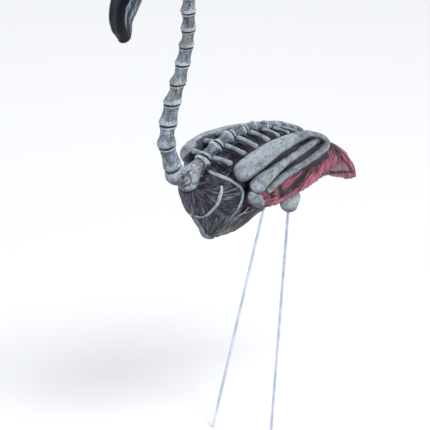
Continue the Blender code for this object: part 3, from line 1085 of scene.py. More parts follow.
        # Dark joint lines, and down the waist painted shade in its flutes and hollow, with pits and nicks;
        # rims below 0 are painted lighter.
        wash_and_shade = dark[bar.index][:, None]
        line = ROOT_LINE.depth(CHART.across(points), CHART.down(points)) * (number == 0)
        cracked = np.maximum(ramp(wash_and_shade, 0.9, 1.0), line)
        mottled = wash_and_shade + waist * (0.16 * flutes + 0.18 * lumps + 0.16 * streaks) + 0.8 * pits + 0.5 * nicks
        skin.masks = {"wash_and_shade": np.clip(np.maximum(1.3 * cracked - 0.3, mottled), -0.3, 1), "stroke": streaks}
        return skin

    def surfaces(self) -> list[Surface]:
        """Neck, back and the block between them."""
        back, up, radius = smooth_rows(self.block, np.linspace(0, len(self.block) - 1, 22)).T
        places = midline(back, up)
        block = Bar(places, radius, radius, sides=76, dome_rings=12).surface("root_block", Paint.BONE)
        lumps = stretched(block.points, (0.22, 0.22, 0.22), Seed.BLOCK_LUMPS)
        pits = np.clip(stretched(block.points, (0.4, 0.4, 0.4), Seed.BLOCK_PITS) - 0.3, 0, 1)
        line = ROOT_LINE.depth(CHART.across(block.points), CHART.down(block.points))
        block.masks = {"wash_and_shade": np.clip(0.12 + 0.3 * lumps + 0.9 * pits + 1.3 * line, 0, 1), "stroke": lumps}
        return [
            self.chain("neck", self.neck, self.first_bone, self.neck_bone, 22, 48),
            self.chain("back", self.back, self.root_bone, self.back_bone, 20, 42),
            block.carve(0.3 * lumps - 0.5 * pits - 0.5 * line),
        ]


@dataclass
class Ribs:
    """Short ribs beside the spine, rib arcs on the breast, keel and tendons.

    Attributes:
        trunk: form that the arcs lie on.
        short: back and up at the spine, length to the side, drop and radius.
        short_run: how far back a short rib runs.
        outer: back and up along the outer arc.
        inner: back and up along the inner arc.
        keel: back, up and radius down the keel.
        tendons: back and up along each tendon.
    """

    trunk: Trunk
    short: Rows = (
        (30, 14, 21, 2.5, 3.1),
        (49, 21.5, 22, 5, 3.2),
        (67, 25, 22, 6, 3.2),
        (87, 24.5, 20, 5, 3.0),
        (106, 22, 17, 4, 2.3),
        (123, 18.5, 15, 3, 2.1),
        (137, 15, 13, 2.5, 1.8),
    )
    short_run: float = 6.0
    outer: Rows = (
        (22, 2),
        (27, -1),
        (33, -5),
        (38, -9.5),
        (42, -15),
        (44, -21),
        (43.5, -28),
        (41.5, -35),
        (38.5, -42),
        (34, -47),
    )
    inner: Rows = (
        (22, -9.5),
        (19, -17),
        (18, -22),
        (16.5, -28),
        (14.5, -33),
        (12.5, -39),
        (10.5, -42.5),
        (9, -43),
    )
    keel: Rows = (
        (8, -40, 1.8),
        (13, -46.5, 3),
        (18.5, -57, 3),
        (23.5, -66.5, 3.2),
        (28.5, -70, 4.2),
        (36, -74, 2.6),
    )
    tendons: Sequence[Rows] = (
        ((35.9, -46), (48.7, -45), (55, -39.5)),
        ((35.9, -46), (49, -45.5), (63.6, -44.5)),
    )

    def short_ribs(self) -> list[Surface]:
        """Short ribs of both sides: thick at the spine, thinner and knobbed at the outer end."""
        made = []
        share = np.linspace(0, 1, 22)
        for number, (back, up, length, drop, radius) in enumerate(self.short, 1):
            bend = 0.8 * math.sin(1.7 * number) * np.sin(math.pi * share)
            places = np.stack(
                [3 + length * share, back + self.short_run * share + bend, up - drop * share**2], axis=-1
            )
            thick = radius * (1.05 - 0.28 * np.sin(math.pi * share * 0.8) + 0.12 * bump(share, 1, 0.12))
            for hand in Hand:
                bar = Bar(places, thick, thick, (0, 0, 1), sides=18, dome_rings=3)
                skin = bar.surface(f"rib_{hand.title}_{number}", Paint.BONE)
                grain = stretched(skin.lines[0] + 9.0 * number, (0.15, 0.6, 0.6), Seed.RIB_GRAIN)
                skin.masks = {"stroke": grain, "lower": 1.4 * np.ones(grain.shape)}
                made.append(skin.carve(0.14 * grain).mirrored(hand))
        return made

    def laid(self, name: str, rows: Rows, radii: Sequence[float], sides: int) -> list[Surface]:
        """Thin bars that lie half sunk in both flanks, with radii read along them."""
        back, up = smooth_rows(rows, even_steps(rows, 1.2, 2)).T
        places = np.stack([self.trunk.side_at(back, up), back, up], axis=-1)
        radius = np.interp(np.linspace(0, 1, len(places)), np.linspace(0, 1, len(radii)), radii)
        made = []
        for hand in Hand:
            bar = Bar(places, radius, radius, (1, 0.2, 0), sides=sides, dome_rings=3)
            skin = bar.surface(f"{name}_{hand.title}", Paint.BONE)
            grain = stretched(skin.lines[0], (0.15, 0.5, 0.5), Seed.ARC_GRAIN)
            skin.masks = {"stroke": grain}
            made.append(skin.carve(0.12 * grain).mirrored(hand))
        return made

    def surfaces(self) -> list[Surface]:
        """All ribs, the keel and the tendons."""
        made = self.short_ribs()
        made += self.laid("outer_rib", self.outer, (2.3, 2.0, 1.8, 1.7, 1.5, 1.1), 18)
        made += self.laid("inner_rib", self.inner, (1.7, 2.3, 2.3, 2.0, 1.6), 18)
        for number, rows in enumerate(self.tendons, 1):
            made += self.laid(f"tendon_{number}", rows, (0.7, 0.9, 0.8), 10)
        back, up, radius = smooth_rows(self.keel, even_steps(self.keel, 1.0, 2)).T
        places = midline(back, up)
        skin = Bar(places, radius, radius, sides=26, dome_rings=4).surface("keel", Paint.BONE)
        lumps = stretched(skin.points, (0.3, 0.15, 0.15), Seed.KEEL_LUMPS)
        skin.masks = {"stroke": lumps}
        made.append(skin.carve(0.25 * lumps))
        return made


@dataclass
class Skull:
    """Skull and bent bill, with a mouth line along each side.

    Attributes:
        sections: back, up, half depth and half width along the middle of the skull and bill.
        bill_start: share of the length at which the dark bill begins.
        mouth: share of the length, and radians from a section's widest part up to the mouth line.
        eye: side, back and up of an eye socket.
        eye_radius: radius of the ball that hollows it.
    """

    sections: Rows = (
        (-12, 228, 9, 9),
        (-18, 232, 14.5, 13.5),
        (-27, 235.5, 17, 15.5),
        (-37, 236, 15.5, 14),
        (-47, 235.5, 12.5, 10.5),
        (-60, 235, 13.5, 9.8),
        (-73.5, 231.5, 17, 10.3),
        (-84.2, 224.4, 19.8, 10.6),
        (-91.6, 214.5, 20.2, 10.6),
        (-96.1, 203, 18.1, 9.8),
        (-96.7, 194.4, 15.1, 8.7),
        (-95.2, 187.2, 12.3, 7.6),
        (-93.6, 178.6, 8.0, 5.8),
    )
    bill_start: float = 0.45
    mouth: Rows = (
        (0.3, 0.25),
        (0.6, 0.15),
        (0.69, 0.15),
        (0.735, 0.24),
        (0.817, 0.13),
        (0.885, 0.02),
        (0.92, -0.06),
        (1.0, -0.12),
    )
    eye: Triple = (15.5, -31, 238.5)
    eye_radius: float = 6.5

    def surface(self) -> Surface:
        """Skull and bill as one bar, grooved along the mouth."""
        back, up, depth, width = smooth_rows(self.sections, even_steps(self.sections, 1.25, 2)).T
        places = midline(back, up)
        bar = Bar(places, width, depth, sides=76, dome_rings=8)
        skin = bar.surface("skull", Paint.BONE)
        level = read_rows(self.mouth, bar.station)
        above = np.arcsin(np.clip(np.sin(bar.turn), -1, 1)) - level
        reach = depth[bar.index][:, None] * above
        opened = window(bar.station, 0.34, 0.42, 0.93, 0.985)
        line = opened * bump(reach, 0, 1.0)
        # Painted highlight along the upper bill's edge by the mouth line, on a low raised ridge.
        gleam = opened * bump(reach, 2.8, 1.0) * ramp(np.cos(bar.turn), 0, 0.3)
        gleam = gleam * (1 - ramp(bar.station, 0.8, 0.93))
        # Faint painted sheen along the bill's ridge.
        sheen = opened * bump(np.sin(bar.turn), 0.93, 0.09) * 0.5
        bony = 1 - ramp(bar.station, self.bill_start - 0.1, self.bill_start)
        lumps = stretched(skin.points, (0.1, 0.1, 0.1), Seed.SKULL_LUMPS)
        inset = opened * (1 - ramp(reach, -0.6, 0.6)) * 0.9
        skin.carve(0.5 * bony * lumps - 1.2 * line - inset + 0.35 * gleam)
        skin.masks = {
            "wash_and_shade": line * bony,
            "belly": line,
            # The stroke mask of the skull holds the painted highlight and sheen.
            "stroke": np.maximum(gleam, 0.16 * sheen),
            "lower": opened * (1 - ramp(reach, -0.5, 0.5)),
            "feather": 1 - bony + 0 * lumps,
        }
        skin.paint = Paint.BILL
        return skin

    def socket(self, hand: Hand, materials: Materials) -> bpy.types.Object:
        """Ball that hollows one eye socket."""
        side, back, up = self.eye
        share = np.linspace(-0.5, 0.5, 14)
        places = np.array((side, back, up)) + np.outer(self.eye_radius * share, (1, 0, 0))
        swell = self.eye_radius * np.sqrt(1 - share**2)
        bar = Bar(places, swell, swell, (0, 0, 1), sides=28, dome_rings=5)
        ball = bar.surface(f"eye_{hand.title}", Paint.BONE)
        ball.masks = {"wash_and_shade": np.ones(ball.points.shape[:2])}
        return ball.mirrored(hand).build(EYE_FORM, materials)


@dataclass
class Hip:
    """Knob on each side of the rump that holds a stake.

    Attributes:
        place: side, back and up of the knob's middle.
        radius: radius of the knob.
        half_height: half the height of its round side.
        taper: share by which its radius shrinks towards both ends.
    """

    place: Triple = (14.5, 135.8, -58)
    radius: float = 11.0
    half_height: float = 5.0
    taper: float = 0.12

    def surface(self, hand: Hand, direction: np.ndarray) -> Surface:
        """Knob along the stake's direction.

        Args:
            hand: side of the bird.
            direction: unit direction of that side's stake, downwards.

        Returns:
            The closed surface.
        """
        share = np.linspace(-1, 1, 12)[:, None]
        middle = np.array(self.place) * hand.flip
        places = middle + direction * self.half_height * share
        girth = self.radius * (1 - self.taper * share[:, 0] ** 2)
        bar = Bar(places, girth, girth, sides=40, dome_rings=7)
        skin = bar.surface(f"hip_{hand.title}", Paint.BONE)
        lumps = stretched(skin.points, (0.14, 0.14, 0.14), Seed.HIP_LUMPS)
        # Painted shade on the knob's front half; the rest is painted lighter.
        painted_shade_half = ramp(95.5 - CHART.across(skin.points) + 2.5 * lumps, -1.5, 3)
        skin.masks = {"stroke": lumps, "wash_and_shade": np.clip(-0.24 + 1.2 * painted_shade_half, -0.3, 1)}
        return skin.carve(0.45 * lumps)


# Stakes


@dataclass(frozen=True)
class Wire:
    """Straight wire read from a stake of the frame.

    Attributes:
        node: the stake's node.
        top: middle of its upper end in metres.
        foot: middle of its lower end in metres.
        radius: radius in metres.
        sides: grid points around.
        rounding: width of the broken edge at each end, as a share of the radius.
        end_height: height in metres within which a corner of the frame's mesh belongs to an end.
    """

    node: str
    top: Vector
    foot: Vector
    radius: float
    sides: int = 40
    rounding: float = 0.15
    end_height: float = 0.02

    @classmethod
    def read(cls, node: str) -> "Wire":
        """Axis and radius of a stake, from the spread of its corners."""
        places = read_vectors(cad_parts[node].data.vertices, "co")
        middle = (places.max(axis=0) + places.min(axis=0)) / 2
        upper = places[places[:, 2] > places[:, 2].max() - cls.end_height]
        lower = places[places[:, 2] < places[:, 2].min() + cls.end_height]
        axis = (upper.max(axis=0) + upper.min(axis=0) - lower.max(axis=0) - lower.min(axis=0)) / 2
        axis /= np.linalg.norm(axis)
        along = (places - middle) @ axis
        spread = places - middle - np.outer(along, axis)
        radius = np.linalg.norm(spread, axis=1).max()
        return cls(node, Vector(middle + axis * along.max()), Vector(middle + axis * along.min()), radius)

    @property
    def direction(self) -> np.ndarray:
        """Unit direction from the top to the foot."""
        return np.array((self.foot - self.top).normalized())

    def ring(self, place: Vector, radius: float) -> np.ndarray:
        """Circle of places square to the wire."""
        axis = Vector(self.direction)
        across = axis.orthogonal().normalized()
        over = axis.cross(across)
        turn = turns(self.sides)[0]
        return np.array(place) + radius * (np.outer(np.cos(turn), across) + np.outer(np.sin(turn), over))

    def piece(self, material: bpy.types.Material) -> bpy.types.Object:
        """Round wire with broken edges at both cut ends."""
        axis = Vector(self.direction)
        edge = self.rounding * self.radius
        stations = [(self.top, self.radius - edge), (self.top + axis * edge, self.radius)]
        length = (self.foot - self.top).length
        for share in np.linspace(0.1, 0.9, 9):
            stations.append((self.top + axis * length * share, self.radius))
        stations += [(self.foot - axis * edge, self.radius), (self.foot, self.radius - edge)]
        rings = np.stack([self.ring(place, radius) for place, radius in stations])
        grid = np.arange(rings.shape[0] * self.sides).reshape(-1, self.sides)
        low, high = grid[:-1], grid[1:]
        quads = np.stack([low, high, np.roll(high, -1, 1), np.roll(low, -1, 1)], axis=-1)
        faces = quads.reshape(-1, 4).tolist() + [grid[0].tolist(), grid[-1][::-1].tolist()]
        mesh = bpy.data.meshes.new(self.node)
        mesh.from_pydata(rings.reshape(-1, 3).tolist(), [], faces)
        mesh.materials.append(material)
        smooth = np.ones(len(mesh.polygons), bool)
        smooth[-2:] = False
        mesh.polygons.foreach_set("use_smooth", smooth)
        return placed(self.node + "_wire", mesh)


@dataclass(frozen=True)
class Bore:
    """Blind bore of a stake, in metres.

    Attributes:
        gap: room over the stake's top.
        clearance: room around the stake.
        depth: length of the cutter from the bore's end, which reaches out of the knob.
        rings: rings along it.
    """

    gap: float = 0.0003
    clearance: float = 0.0004
    depth: float = 0.075
    rings: int = 12


def socket_bore(wire: Wire, materials: Materials) -> bpy.types.Object:
    """Closed cutter for a stake's top, as wide as the frame's own socket."""
    bore, unit, direction = Bore(), LAYOUT.module(), wire.direction
    top = (np.array(wire.top) - direction * bore.gap - LAYOUT.place(np.zeros(3))) / unit
    places = top + np.outer(np.linspace(0, bore.depth / unit, bore.rings), direction)
    girth = np.full(bore.rings, (wire.radius + bore.clearance) / unit)
    bar = Bar(places, girth, girth, sides=32, dome_rings=1)
    cutter = bar.surface(f"{wire.node}_bore", Paint.BONE)
    cutter.masks = {"wash_and_shade": np.ones(cutter.points.shape[:2])}
    return cutter.build(BORE_FORM, materials)


# Union of the moulding


def gather(name: str, members: Sequence[bpy.types.Object]) -> bpy.types.Collection:
    """Collection that holds exactly the members."""
    made = bpy.data.collections.new(name)
    bpy.context.scene.collection.children.link(made)
    for member in members:
        for home in list(member.users_collection):
            home.objects.unlink(member)
        made.objects.link(member)
    return made


def unite(forms: Sequence[bpy.types.Object], cutters: Sequence[bpy.types.Object]) -> bpy.types.Mesh:
    """One closed mesh of all forms less the cutters.

    Args:
        forms: closed forms, the first of which receives the others.
        cutters: closed forms taken away.

    Returns:
        A new mesh. The forms and cutters are removed from the scene.
    """
    base, *rest = forms
    groups = [("UNION", gather("forms", rest)), ("DIFFERENCE", gather("cutters", cutters))]
    for operation, group in groups:
        step = base.modifiers.new(operation.title(), "BOOLEAN")
        step.operation = operation
        step.operand_type = "COLLECTION"
        step.collection = group
        step.solver = "MANIFOLD"
    view = bpy.context.evaluated_depsgraph_get()
    mesh = bpy.data.meshes.new_from_object(base.evaluated_get(view))
    for member in [base, *rest, *cutters]:
        bpy.data.objects.remove(member)
    for _, group in groups:
        bpy.data.collections.remove(group)
    return mesh


@dataclass
class Skin:
    """Arrays of the united mesh.

    Attributes:
        mesh: the mesh.
        places: vertex places in metres.
        corners: vertex number of each face corner.
        faces: face number of each face corner.
        swell_rounds: rounds of smoothing that ridges and hollows are measured against.
        swell_limit: greatest height that is stored, in modules.
        seam_rounds: rounds that spread the seams.
        seam_gain: factor that brings a spread seam back to about 1.
        facing_rounds: rounds that smooth how far the skin faces up.
    """

    mesh: bpy.types.Mesh
    places: np.ndarray = field(init=False)
    corners: np.ndarray = field(init=False)
    faces: np.ndarray = field(init=False)
    swell_rounds: int = 14
    swell_limit: float = 2.0
    seam_rounds: int = 2
    seam_gain: float = 1.6
    facing_rounds: int = 4

    def __post_init__(self) -> None:
        """Read the arrays."""
        mesh = self.mesh
        self.places = read_vectors(mesh.vertices, "co")
        self.corners = np.empty(len(mesh.loops), np.int32)
        mesh.loops.foreach_get("vertex_index", self.corners)
        sizes = np.empty(len(mesh.polygons), np.int32)
        mesh.polygons.foreach_get("loop_total", sizes)
        self.faces = np.repeat(np.arange(len(sizes)), sizes)

    def vertex_normals(self) -> np.ndarray:
        """Unit normals of the vertices."""
        return read_vectors(self.mesh.vertex_normals, "vector")

    def averaged(self, values: np.ndarray, rounds: int) -> np.ndarray:
        """Values smoothed along the edges: each round is half a vertex and half its neighbours' mean."""
        ends = np.empty(len(self.mesh.edges) * 2, np.int32)
        self.mesh.edges.foreach_get("vertices", ends)
        first, second = ends.reshape(-1, 2).T
        count = len(self.places)
        degree = np.bincount(first, minlength=count) + np.bincount(second, minlength=count)
        columns = values.reshape(count, -1).copy()
        for _ in range(rounds):
            for k in range(columns.shape[1]):
                total = np.bincount(first, columns[second, k], count)
                total += np.bincount(second, columns[first, k], count)
                columns[:, k] = 0.5 * columns[:, k] + 0.5 * total / np.maximum(degree, 1)
        return columns.reshape(values.shape)

    def swell(self) -> np.ndarray:
        """Height of each vertex over the smoothed skin in modules, below 0 in a hollow."""
        smoothed = self.averaged(self.places, self.swell_rounds)
        return np.sum((self.places - smoothed) * self.vertex_normals(), axis=1) / LAYOUT.module()

    def seams(self) -> np.ndarray:
        """1 at each vertex where two forms meet, otherwise 0."""
        marks = np.empty(len(self.mesh.polygons), np.int32)
        self.mesh.attributes["form"].data.foreach_get("value", marks)
        count = len(self.places)
        least = np.full(count, 999)
        most = np.zeros(count, int)
        np.minimum.at(least, self.corners, marks[self.faces])
        np.maximum.at(most, self.corners, marks[self.faces])
        return (least < most).astype(float)

    def write(self, name: str, values: np.ndarray) -> None:
        """Store one number for each vertex."""
        layer = self.mesh.attributes.new(name, "FLOAT", "POINT")
        layer.data.foreach_set("value", values.astype(np.float32))

    def paint_vertices(self) -> None:
        """Store how far each vertex stands out, how near a seam it is and how far it faces up."""
        self.write("swell", np.clip(self.swell(), -self.swell_limit, self.swell_limit))
        seams = self.averaged(self.seams(), self.seam_rounds)
        self.write("seam", np.clip(self.seam_gain * seams, 0, 1))
        self.write("facing", self.averaged(self.vertex_normals()[:, 2].copy(), self.facing_rounds))


# Materials


@dataclass
class Shader:
    """Short hand for building a node material.

    Attributes:
        name: the material's name.
    """

    name: str
    material: bpy.types.Material = field(init=False)

    def __post_init__(self) -> None:
        """Start an empty node tree."""
        self.material = bpy.data.materials.new(self.name)
        self.material.use_nodes = True
        self.material.node_tree.nodes.clear()

    def node(self, kind: str, **settings: object) -> bpy.types.Node:
        """New node with its settings made."""
        made = self.material.node_tree.nodes.new(kind)
        for key, value in settings.items():
            setattr(made, key, value)
        return made

    def feed(self, socket: Socket, value: object) -> None:
        """Link a socket to another one, or set its constant."""
        if isinstance(value, Socket):
            self.material.node_tree.links.new(value, socket)
        elif isinstance(value, tuple) and len(value) == 3 and socket.type == "RGBA":
            socket.default_value = (*value, 1.0)
        else:
            socket.default_value = value

    def mask(self, name: str) -> Socket:
        """Number stored on the mesh."""
        return self.node("ShaderNodeAttribute", attribute_name=name).outputs["Fac"]

    def vector(self, name: str) -> Socket:
        """Vector stored on the mesh."""
        return self.node("ShaderNodeAttribute", attribute_name=name).outputs["Vector"]

    def where(self) -> Socket:
        """Object coordinates."""
        return self.node("ShaderNodeTexCoord").outputs["Object"]

    def scaled(self, vector: Socket, factors: Triple) -> Socket:
        """Vector multiplied part by part."""
        made = self.node("ShaderNodeVectorMath", operation="MULTIPLY")
        self.feed(made.inputs[0], vector)
        made.inputs[1].default_value = factors
        return made.outputs[0]

    def noise(self, vector: Socket, scale: float, detail: float = 2.0, bend: float = 0.0) -> Socket:
        """Noise from 0 to 1."""
        made = self.node("ShaderNodeTexNoise")
        ends = {"Vector": vector, "Scale": scale, "Detail": detail, "Distortion": bend}
        for title, value in ends.items():
            self.feed(made.inputs[title], value)
        return made.outputs["Fac"]

    def math(self, operation: str, first: object, second: object) -> Socket:
        """Two numbers worked into one."""
        made = self.node("ShaderNodeMath", operation=operation)
        self.feed(made.inputs[0], first)
        self.feed(made.inputs[1], second)
        return made.outputs[0]

    def add(self, first: object, second: object) -> Socket:
        """Sum."""
        return self.math("ADD", first, second)

    def less(self, first: object, second: object) -> Socket:
        """First number less the second."""
        return self.math("SUBTRACT", first, second)

    def times(self, first: object, second: object) -> Socket:
        """Product."""
        return self.math("MULTIPLY", first, second)

    def largest(self, first: object, *others: object) -> Socket:
        """Greatest of the numbers."""
        for other in others:
            first = self.math("MAXIMUM", first, other)
        return first

    def ramp(self, value: object, low: float, high: float, start: float = 0.0, stop: float = 1.0) -> Socket:
        """Smooth step of a number from low to high, returned from start to stop."""
        made = self.node("ShaderNodeMapRange", interpolation_type="SMOOTHSTEP")
        ends = {"Value": value, "From Min": low, "From Max": high, "To Min": start, "To Max": stop}
        for title, number in ends.items():
            self.feed(made.inputs[title], number)
        return made.outputs["Result"]

    def mix(self, share: object, first: object, second: object) -> Socket:
        """Blend of two colours."""
        made = self.node("ShaderNodeMix", data_type="RGBA", blend_type="MIX")
        self.feed(made.inputs[0], share)
        self.feed(made.inputs[6], first)
        self.feed(made.inputs[7], second)
        return made.outputs[2]

    def layers(self, ground: object, rows: Sequence[tuple[Socket, float, float, float, Triple]]) -> Socket:
        """Paints laid over each other.

        Args:
            ground: colour under all of them.
            rows: each layer's pattern, its values where the paint begins and is full, share and colour.

        Returns:
            The colour.
        """
        colour = ground
        for pattern, low, high, share, paint in rows:
            colour = self.mix(self.ramp(pattern, low, high, 0, share), colour, paint)
        return colour

    def finish(
        self,
        colour: object,
        roughness: object,
        height: object | None = None,
        depth: float = 0.0005,
        metal: float = 0.0,
        specular: float = 0.5,
    ) -> bpy.types.Material:
        """Close the tree with a principled surface.

        Args:
            colour: base colour.
            roughness: roughness.
            height: bump height, if any.
            depth: distance that a height of 1 stands for, in metres.
            metal: metallic share.
            specular: strength of the plain reflection.

        Returns:
            The material.
        """
        surface = self.node("ShaderNodeBsdfPrincipled")
        ends = {"Base Color": colour, "Roughness": roughness, "Metallic": metal}
        ends["Specular IOR Level"] = specular
        for title, value in ends.items():
            self.feed(surface.inputs[title], value)
        if height is not None:
            relief = self.node("ShaderNodeBump")
            relief.inputs["Distance"].default_value = depth
            relief.inputs["Strength"].default_value = 1.0
            self.feed(relief.inputs["Height"], height)
            self.feed(surface.inputs["Normal"], relief.outputs["Normal"])
        output = self.node("ShaderNodeOutputMaterial")
        self.feed(output.inputs["Surface"], surface.outputs["BSDF"])
        return self.material


@dataclass(frozen=True)
class BonePaint:
    """Colours of the bones, linear."""

    pale: Triple = (0.190, 0.222, 0.240)
    lavender: Triple = (0.205, 0.225, 0.350)
    moss: Triple = (0.200, 0.205, 0.120)
    bright: Triple = (0.52, 0.60, 0.66)
    dark: Triple = (0.016, 0.015, 0.028)
    speck: Triple = (0.045, 0.047, 0.068)
    dim_grey: Triple = (0.052, 0.056, 0.050)

    def coat(self, shade: "Shader") -> tuple[Socket, Socket, Socket]:
        """Pale bone with tints, streaks and specks, a painted highlight on ridges, and dark paint with
        painted shade in its hollows, along seams and on its undersides.

        Args:
            shade: the material being built.

        Returns:
            Colour, darkness from 0 to 1 and bump height.
        """
        where, lines = shade.where(), shade.vector("lines")
        swell, seam, wash_and_shade, facing = (shade.mask(name) for name in ("swell", "seam", "wash_and_shade", "facing"))
        streak = shade.noise(shade.scaled(lines, (0.10, 0.62, 0.62)), 1.0, 3)
        speckle = shade.noise(shade.scaled(lines, (0.42, 0.85, 0.85)), 1.0, 2)
        rough = shade.noise(where, 430, 4)
        rows = (
            (shade.noise(where, 26, 2), 0.42, 0.62, 1.0, self.lavender),
            (shade.noise(where, 41, 3, 0.4), 0.47, 0.66, 0.8, self.moss),
            (streak, 0.53, 0.70, 0.5, self.bright),
            # Painted highlight on raised ridges; lighter paint where the first mask is below 0, on vertebra
            # rims and hip knobs.
            (swell, 0.08, 0.36, 0.75, self.bright),
            (wash_and_shade, -0.03, -0.22, 0.75, self.bright),
            (streak, 0.47, 0.32, 0.5, self.speck),
            (shade.noise(where, 55, 5), 0.42, 0.75, 0.62, self.speck),
            (speckle, 0.56, 0.74, 0.38, self.speck),
            (rough, 0.54, 0.68, 0.42, self.bright),
            (rough, 0.46, 0.34, 0.45, self.speck),
        )
        colour = shade.layers(self.pale, rows)
        # Wing bones and short ribs are painted a darker grey, by the lower mask.
        colour = shade.mix(shade.times(shade.mask("lower"), 0.20), colour, self.dim_grey)
        # Painted shade: dark in pits and cracks and shade from the form's mask, in hollows under the
        # smoothed skin, along seams where forms meet and on sides that face down.
        loose = shade.times(shade.less(rough, 0.5), 1.6)
        finer = shade.times(shade.less(speckle, 0.5), 0.9)
        spread = shade.add(wash_and_shade, shade.add(loose, finer))
        hollow = shade.ramp(spread, 0.26, 0.80, 0, 0.92)
        deep = shade.ramp(shade.less(0.0, swell), 0.08, 0.42, 0, 0.92)
        under = shade.ramp(facing, 0.05, -0.62, 0, 0.80)
        edge = shade.ramp(seam, 0.18, 0.62, 0, 0.97)
        dark = shade.largest(hollow, deep, edge, under)
        height = shade.add(shade.times(streak, 0.8), shade.times(rough, 0.6))
        return shade.mix(dark, colour, self.dark), dark, height

    def material(self) -> bpy.types.Material:
        """Painted bone."""
        shade = Shader("bone_paint")
        colour, dark, height = self.coat(shade)
        return shade.finish(colour, shade.ramp(dark, 0, 1, 0.50, 0.42), height, 0.0010, specular=0.35)


@dataclass(frozen=True)
class SkinPaint:
    """Colours of flesh and feathers, linear."""

    flesh: Triple = (0.0115, 0.0100, 0.0190)
    fibre: Triple = (0.105, 0.105, 0.155)
    glint: Triple = (0.25, 0.27, 0.35)
    belly: Triple = (0.024, 0.028, 0.027)
    belly_fibre: Triple = (0.095, 0.108, 0.104)
    gap: Triple = (0.009, 0.012, 0.013)
    hollow: Triple = (0.020, 0.014, 0.026)
    rose: Triple = (0.29, 0.050, 0.100)
    pink: Triple = (0.55, 0.135, 0.235)
    blush: Triple = (0.20, 0.085, 0.125)
    grey_pink: Triple = (0.27, 0.19, 0.24)

    def material(self) -> bpy.types.Material:
        """Dark flesh with lighter fibres, turning into pink feathers with dark gaps."""
        shade = Shader("skin_paint")
        where, lines = shade.where(), shade.vector("lines")
        wash_and_shade, stroke, feather = shade.mask("wash_and_shade"), shade.mask("stroke"), shade.mask("feather")
        swell, seam, belly = shade.mask("swell"), shade.mask("seam"), shade.mask("belly")
        fibre = shade.noise(shade.scaled(lines, (0.10, 1.05, 1.0)), 1.0, 2, 0.25)
        raised = shade.add(fibre, shade.times(stroke, 0.08))
        flesh = shade.mix(shade.ramp(raised, 0.47, 0.60), self.flesh, self.fibre)
        under = shade.mix(shade.ramp(raised, 0.47, 0.60), self.belly, self.belly_fibre)
        flesh = shade.mix(belly, flesh, under)
        flesh = shade.mix(shade.ramp(raised, 0.62, 0.70, 0, 0.8), flesh, self.glint)
        barb = shade.noise(shade.scaled(lines, (0.075, 1.40, 1.0)), 1.0, 1, 0.15)
        lifted = shade.add(barb, shade.times(stroke, 0.06))
        lifted = shade.less(lifted, shade.times(wash_and_shade, 0.26))
        rows = (
            (lifted, 0.43, 0.49, 1.0, self.rose),
            (lifted, 0.50, 0.57, 1.0, self.pink),
            (shade.noise(where, 60, 2), 0.45, 0.65, 0.45, self.blush),
        )
        plume = shade.layers(self.gap, rows)
        # The sunk triangle under the tail feathers is painted a mottled grey-pink.
        tail = shade.mix(shade.ramp(shade.noise(where, 300, 3), 0.34, 0.58), self.blush, self.grey_pink)
        open_tail = shade.times(shade.mask("lower"), shade.ramp(wash_and_shade, 0.8, 0.45, 0, 0.9))
        plume = shade.mix(open_tail, plume, tail)
        colour = shade.mix(feather, flesh, plume)
        # Painted shade in the flesh's hollows and under the wing.
        ragged = shade.add(wash_and_shade, shade.times(shade.less(fibre, 0.5), 1.2))
        hollow = shade.ramp(ragged, 0.35, 0.75, 0, 0.92)
        hollow = shade.times(hollow, shade.less(1.0, feather))
        colour = shade.mix(hollow, colour, self.hollow)
        # Painted shade in hollows under the smoothed skin and along seams where forms meet.
        deep = shade.ramp(shade.less(0.0, swell), 0.25, 0.9, 0, 0.8)
        dark = shade.largest(deep, shade.ramp(seam, 0.25, 0.9, 0, 0.9))
        colour = shade.mix(dark, colour, self.gap)
        height = shade.add(fibre, shade.times(barb, 0.7))
        return shade.finish(colour, 0.5, height, 0.0018, specular=0.3)


@dataclass(frozen=True)
class BillPaint:
    """Colours of skull and bill, linear."""

    upper: Triple = (0.0040, 0.0030, 0.0060)
    lower: Triple = (0.032, 0.043, 0.066)
    streak: Triple = (0.42, 0.50, 0.60)
    mouth: Triple = (0.002, 0.002, 0.004)

    def material(self) -> bpy.types.Material:
        """Bone skull, glossy near-black upper bill and blue-grey lower bill with pale streaks, and a
        painted highlight and sheen on the upper bill.
        """
        shade = Shader("bill_paint")
        bone, _, relief = BonePaint().coat(shade)
        where, lines = shade.where(), shade.vector("lines")
        line, dark_bill, lower = shade.mask("belly"), shade.mask("feather"), shade.mask("lower")
        streaks = shade.noise(shade.scaled(lines, (0.05, 0.45, 0.45)), 1.0, 3, 0.3)
        jaw = shade.mix(shade.ramp(streaks, 0.52, 0.70, 0, 0.8), self.lower, self.streak)
        horn = shade.mix(lower, self.upper, jaw)
        # Painted highlight and sheen from the stroke mask, in the pale streak colour.
        horn = shade.mix(shade.times(shade.mask("stroke"), 0.75), horn, self.streak)
        horn = shade.mix(shade.ramp(line, 0.3, 0.8), horn, self.mouth)
        edge = shade.less(shade.noise(where, 90, 3), 0.5)
        turned = shade.add(dark_bill, shade.times(edge, 0.9))
        share = shade.ramp(turned, 0.4, 0.6)
        colour = shade.mix(share, bone, horn)
        height = shade.times(relief, shade.less(1.0, share))
        gloss = shade.ramp(turned, 0.4, 0.6, 0.5, 0.22)
        return shade.finish(colour, gloss, height, 0.0010, specular=0.16)


def steel_material() -> bpy.types.Material:
    """Drawn steel wire: bright, with faint lengthwise brushing."""
    shade = Shader("stake_steel")
    where = shade.where()
    drawn = shade.noise(shade.scaled(where, (900.0, 900.0, 12.0)), 1.0, 3)
    dull = shade.noise(where, 40, 3)
    colour = shade.mix(shade.ramp(dull, 0.35, 0.65), (0.55, 0.62, 0.76), (0.76, 0.83, 0.95))
    return shade.finish(colour, shade.ramp(drawn, 0.3, 0.7, 0.30, 0.42), drawn, 0.00005, metal=0.85)


